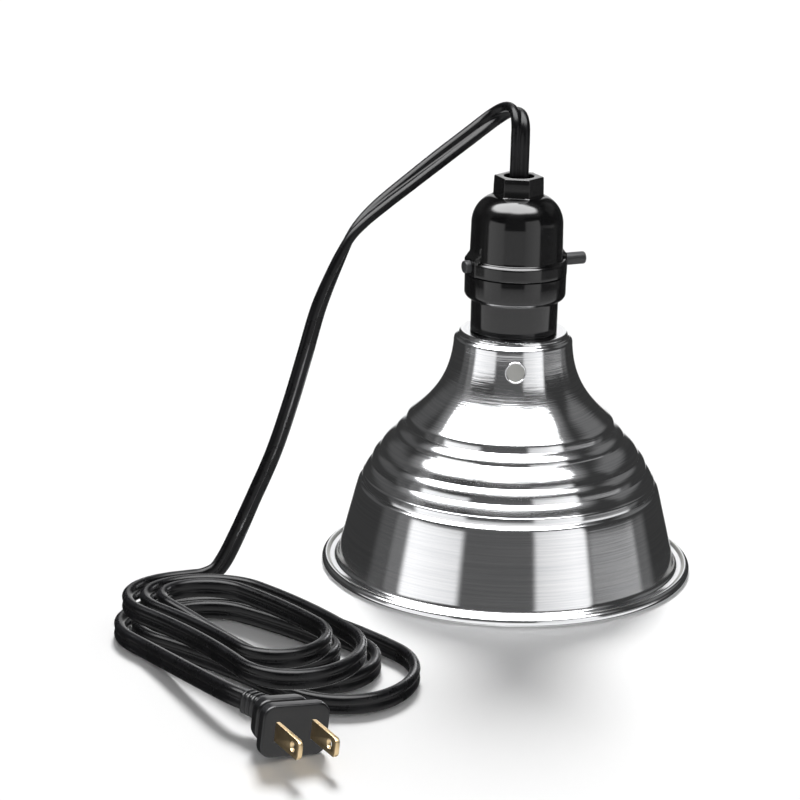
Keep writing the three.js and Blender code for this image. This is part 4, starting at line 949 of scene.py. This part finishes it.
FINISHES = {"spun_aluminium": spun_aluminium(), "phenolic": phenolic()}
for name, dark, light, rough, surface in (
    ("rod_plastic", (0.030, 0.031, 0.033), (0.048, 0.049, 0.052), (0.42, 0.55), {}),
    ("fibre", (0.035, 0.028, 0.022), (0.07, 0.056, 0.042), (0.75, 0.9), {"grain": 1400.0, "depth": 0.0001}),
    ("cord_vinyl", (0.006, 0.006, 0.0068), (0.010, 0.010, 0.0115), (0.24, 0.32),
     {"grain": 700.0, "depth": 0.00004, "gloss": 0.23}),
    ("plug_vinyl", (0.009, 0.0092, 0.0102), (0.015, 0.0152, 0.017), (0.27, 0.36),
     {"grain": 1500.0, "depth": 0.00004}),
    ("white_vinyl", (0.62, 0.61, 0.58), (0.74, 0.73, 0.70), (0.35, 0.5), {"grain": 800.0}),
):
    FINISHES[name] = moulded(name, dark, light, rough, **surface)
for name, dark, light, rough in (
    ("brass", (0.76, 0.56, 0.31), (0.86, 0.68, 0.42), (0.3, 0.4)),
    ("steel", (0.42, 0.42, 0.43), (0.60, 0.60, 0.61), (0.25, 0.45)),
):
    FINISHES[name] = metal(name, dark, light, rough)


def dress(piece, slot):
    piece.data.materials.clear()
    piece.data.materials.append(FINISHES[slot])


NODE_SLOTS = {
    "assembly_screw_back": "steel",
    "assembly_screw_front": "steel",
    "centre_contact": "brass",
    "contact_bridge": "brass",
    "contact_feed_strip": "brass",
    "contact_lamp_strip": "brass",
    "contact_rivet": "brass",
    "lead_hot": "cord_vinyl",
    "lead_neutral": "white_vinyl",
    "switch_base": "fibre",
    "switch_carriage": "fibre",
    "terminal_plate_neutral": "steel",
    "terminal_screw_hot": "brass",
    "terminal_screw_neutral": "steel",
}

for node, slot in NODE_SLOTS.items():
    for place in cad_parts[node].material_slots:
        place.material = FINISHES[slot]

for piece, node, slot, moves_with in (
    (reflector, ["reflector"], "spun_aluminium", "lamp"),
    (body, ["socket_body"], "phenolic", "lamp"),
    (cap, ["socket_cap"], "phenolic", "lamp"),
    (nut, ["retaining_ring"], "phenolic", "lamp"),
    (screw_shell, ["screw_shell"], "brass", "lamp"),
    (rod, ["switch_rod"], "rod_plastic", "switch"),
    (plug, ["plug_body"], "plug_vinyl", "lamp"),
    (blades[0], ["plug_blade_left"], "brass", "lamp"),
    (blades[1], ["plug_blade_right"], "brass", "lamp"),
    (cord, ["cord_drop", "cord_hank", "cord_tail"], "cord_vinyl", "lamp"),
):
    dress(piece, slot)
    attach(piece, moves_with)
    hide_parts(*node)

for piece in (cord, plug, *blades):
    piece.visible_glossy = False  # the photograph shows no reflection of them in the metal


# Floor, light and what the gloss reflects

def make_floor():
    reach = 6
    corners = [(-reach, -reach, 0), (reach, -reach, 0), (reach, reach, 0), (-reach, reach, 0)]
    mesh = bpy.data.meshes.new("floor")
    mesh.from_pydata(corners, [], [(0, 1, 2, 3)])
    floor = bpy.data.objects.new("floor", mesh)
    scene.collection.objects.link(floor)
    owner = bpy.data.materials.new("floor")
    tree = Tree(owner)
    shader = tree.add("BsdfPrincipled")
    tree.put(shader, "Base Color", (0.86, 0.86, 0.86, 1.0))
    tree.put(shader, "Roughness", 0.8)
    tree.put(shader, "Specular IOR Level", 0.1)
    tree.add("OutputMaterial", Surface=shader.outputs[0])
    mesh.materials.append(owner)
    floor.visible_glossy = False


def make_sun():
    light = bpy.data.lights.new("key", "SUN")
    light.energy = 3.8
    light.angle = math.radians(17)
    key = bpy.data.objects.new("key", light)
    scene.collection.objects.link(key)
    travel = Vector((0.05, -1.0, -0.95))
    key.rotation_euler = travel.to_track_quat("-Z", "Y").to_euler()
    key.visible_glossy = False


# What the gloss sees of the studio: level, azimuth from and to, elevation from and to, and how soft the edges are.
# Azimuths are in degrees from the camera's side, to the right. A level may be a ramp along the azimuth, as
# (azimuth from, to, level from, to).
PANELS = [
    (1.0, -100, 110, -100, -15, 3.0),
    (0.6, -31, 21, -15, -7, 3.0),
    (1.0, 168, 190, -100, 60, 3.0),
    (1.0, -190, -168, -100, 60, 3.0),
    ((-66, -34, 1.15, 0.88), -74, -31, -15, 15, 3.0),
    ((22, 50, 0.72, 1.06), 21, 60, -15, 26, 2.5),
    (0.14, -87, -74, -18, 32, 3.0),
    (0.05, -103, -87, -18, 32, 4.0),
    (0.05, -150, -103, 10, 32, 6.0),
    (0.1, 60, 118, -15, 1, 5.0),
    (0.12, 104, 150, 20, 42, 6.0),
    (0.06, -31, 21, -15, 60, 2.5),
]
# A band that climbs along the azimuth: a panel, and the ramp and the half widths that leave the band of it
SLANTED_PANEL = (0.32, 62, 104, -15, 20, 3.0)
SLANT, SLANT_HALF_WIDTHS = (67, 95, -4.0, 2.0), (2.0, 5.0)
# The top light begins at an elevation that these ramps change: azimuth from and to, change from and to
TOP_LIGHT_EDGE = 58.5
TOP_LIGHT_RAMPS = [(-95, -25, -14, 0), (25, 75, 0, -6), (70, 125, 0, 22), (-150, -95, 22, 0)]
# Level of the top light, and of the glow below it, from so far below its edge to so far above
TOP_LIGHT, TOP_GLOW = (-7.0, 5.0, 0.04, 11.0), (-24, -3, 0.0, 0.28)
SKY_LEVEL, BACKDROP_LEVEL = 0.34, 1.1


def studio_strength(tree):
    """How bright the studio is in each direction, as the gloss sees it."""
    way = tree.add("SeparateXYZ")
    tree.put(way, "0", tree.add("TexCoord").outputs["Generated"])
    x, y, z = way.outputs
    azimuth = tree.math("MULTIPLY", tree.math("ARCTAN2", x, tree.math("MULTIPLY", y, -1.0)), 180 / math.pi)
    elevation = tree.math("MULTIPLY", tree.math("ARCSINE", z), 180 / math.pi)

    def panel(level, left, right, low, high, soft):
        if isinstance(level, tuple):
            level = tree.ramp(azimuth, *level)
        share = tree.ramp(azimuth, left - soft, left + soft, smooth=True)
        for value, edge, start in ((azimuth, right, 1.0), (elevation, low, 0.0), (elevation, high, 1.0)):
            inside = tree.ramp(value, edge - soft, edge + soft, start, 1.0 - start, True)
            share = tree.math("MULTIPLY", share, inside)
        return tree.math("MULTIPLY", share, level)

    slant = tree.math("ADD", elevation, tree.ramp(azimuth, *SLANT))
    band = tree.ramp(tree.math("ABSOLUTE", slant), *SLANT_HALF_WIDTHS, 1.0, 0.0)
    edge = TOP_LIGHT_EDGE
    for left, right, start, end in TOP_LIGHT_RAMPS:
        edge = tree.math("ADD", tree.ramp(azimuth, left, right, start, end, True), edge)
    above = tree.math("SUBTRACT", elevation, edge)
    total = tree.ramp(above, *TOP_LIGHT, True)
    total = tree.math("ADD", tree.ramp(above, *TOP_GLOW, True), total)
    total = tree.math("ADD", tree.math("MULTIPLY", panel(*SLANTED_PANEL), band), total)
    for values in PANELS:
        total = tree.math("ADD", panel(*values), total)
    return total


def make_world():
    """Camera rays see white, diffuse and other rays an even sky, and gloss the studio."""
    world = bpy.data.worlds.new("studio")
    scene.world = world
    tree = Tree(world)

    def background(strength):
        return tree.add("Background", None, Color=WHITE, Strength=strength).outputs[0]

    def where(ray, otherwise, shown):
        node = tree.add("MixShader")
        for name, value in (("0", rays.outputs[ray]), ("1", otherwise), ("2", shown)):
            tree.put(node, name, value)
        return node.outputs[0]

    rays = tree.add("LightPath")
    seen = where("Is Glossy Ray", background(SKY_LEVEL), background(studio_strength(tree)))
    seen = where("Is Camera Ray", seen, background(BACKDROP_LEVEL))
    tree.add("OutputWorld", Surface=seen)


make_floor()
make_sun()
make_world()
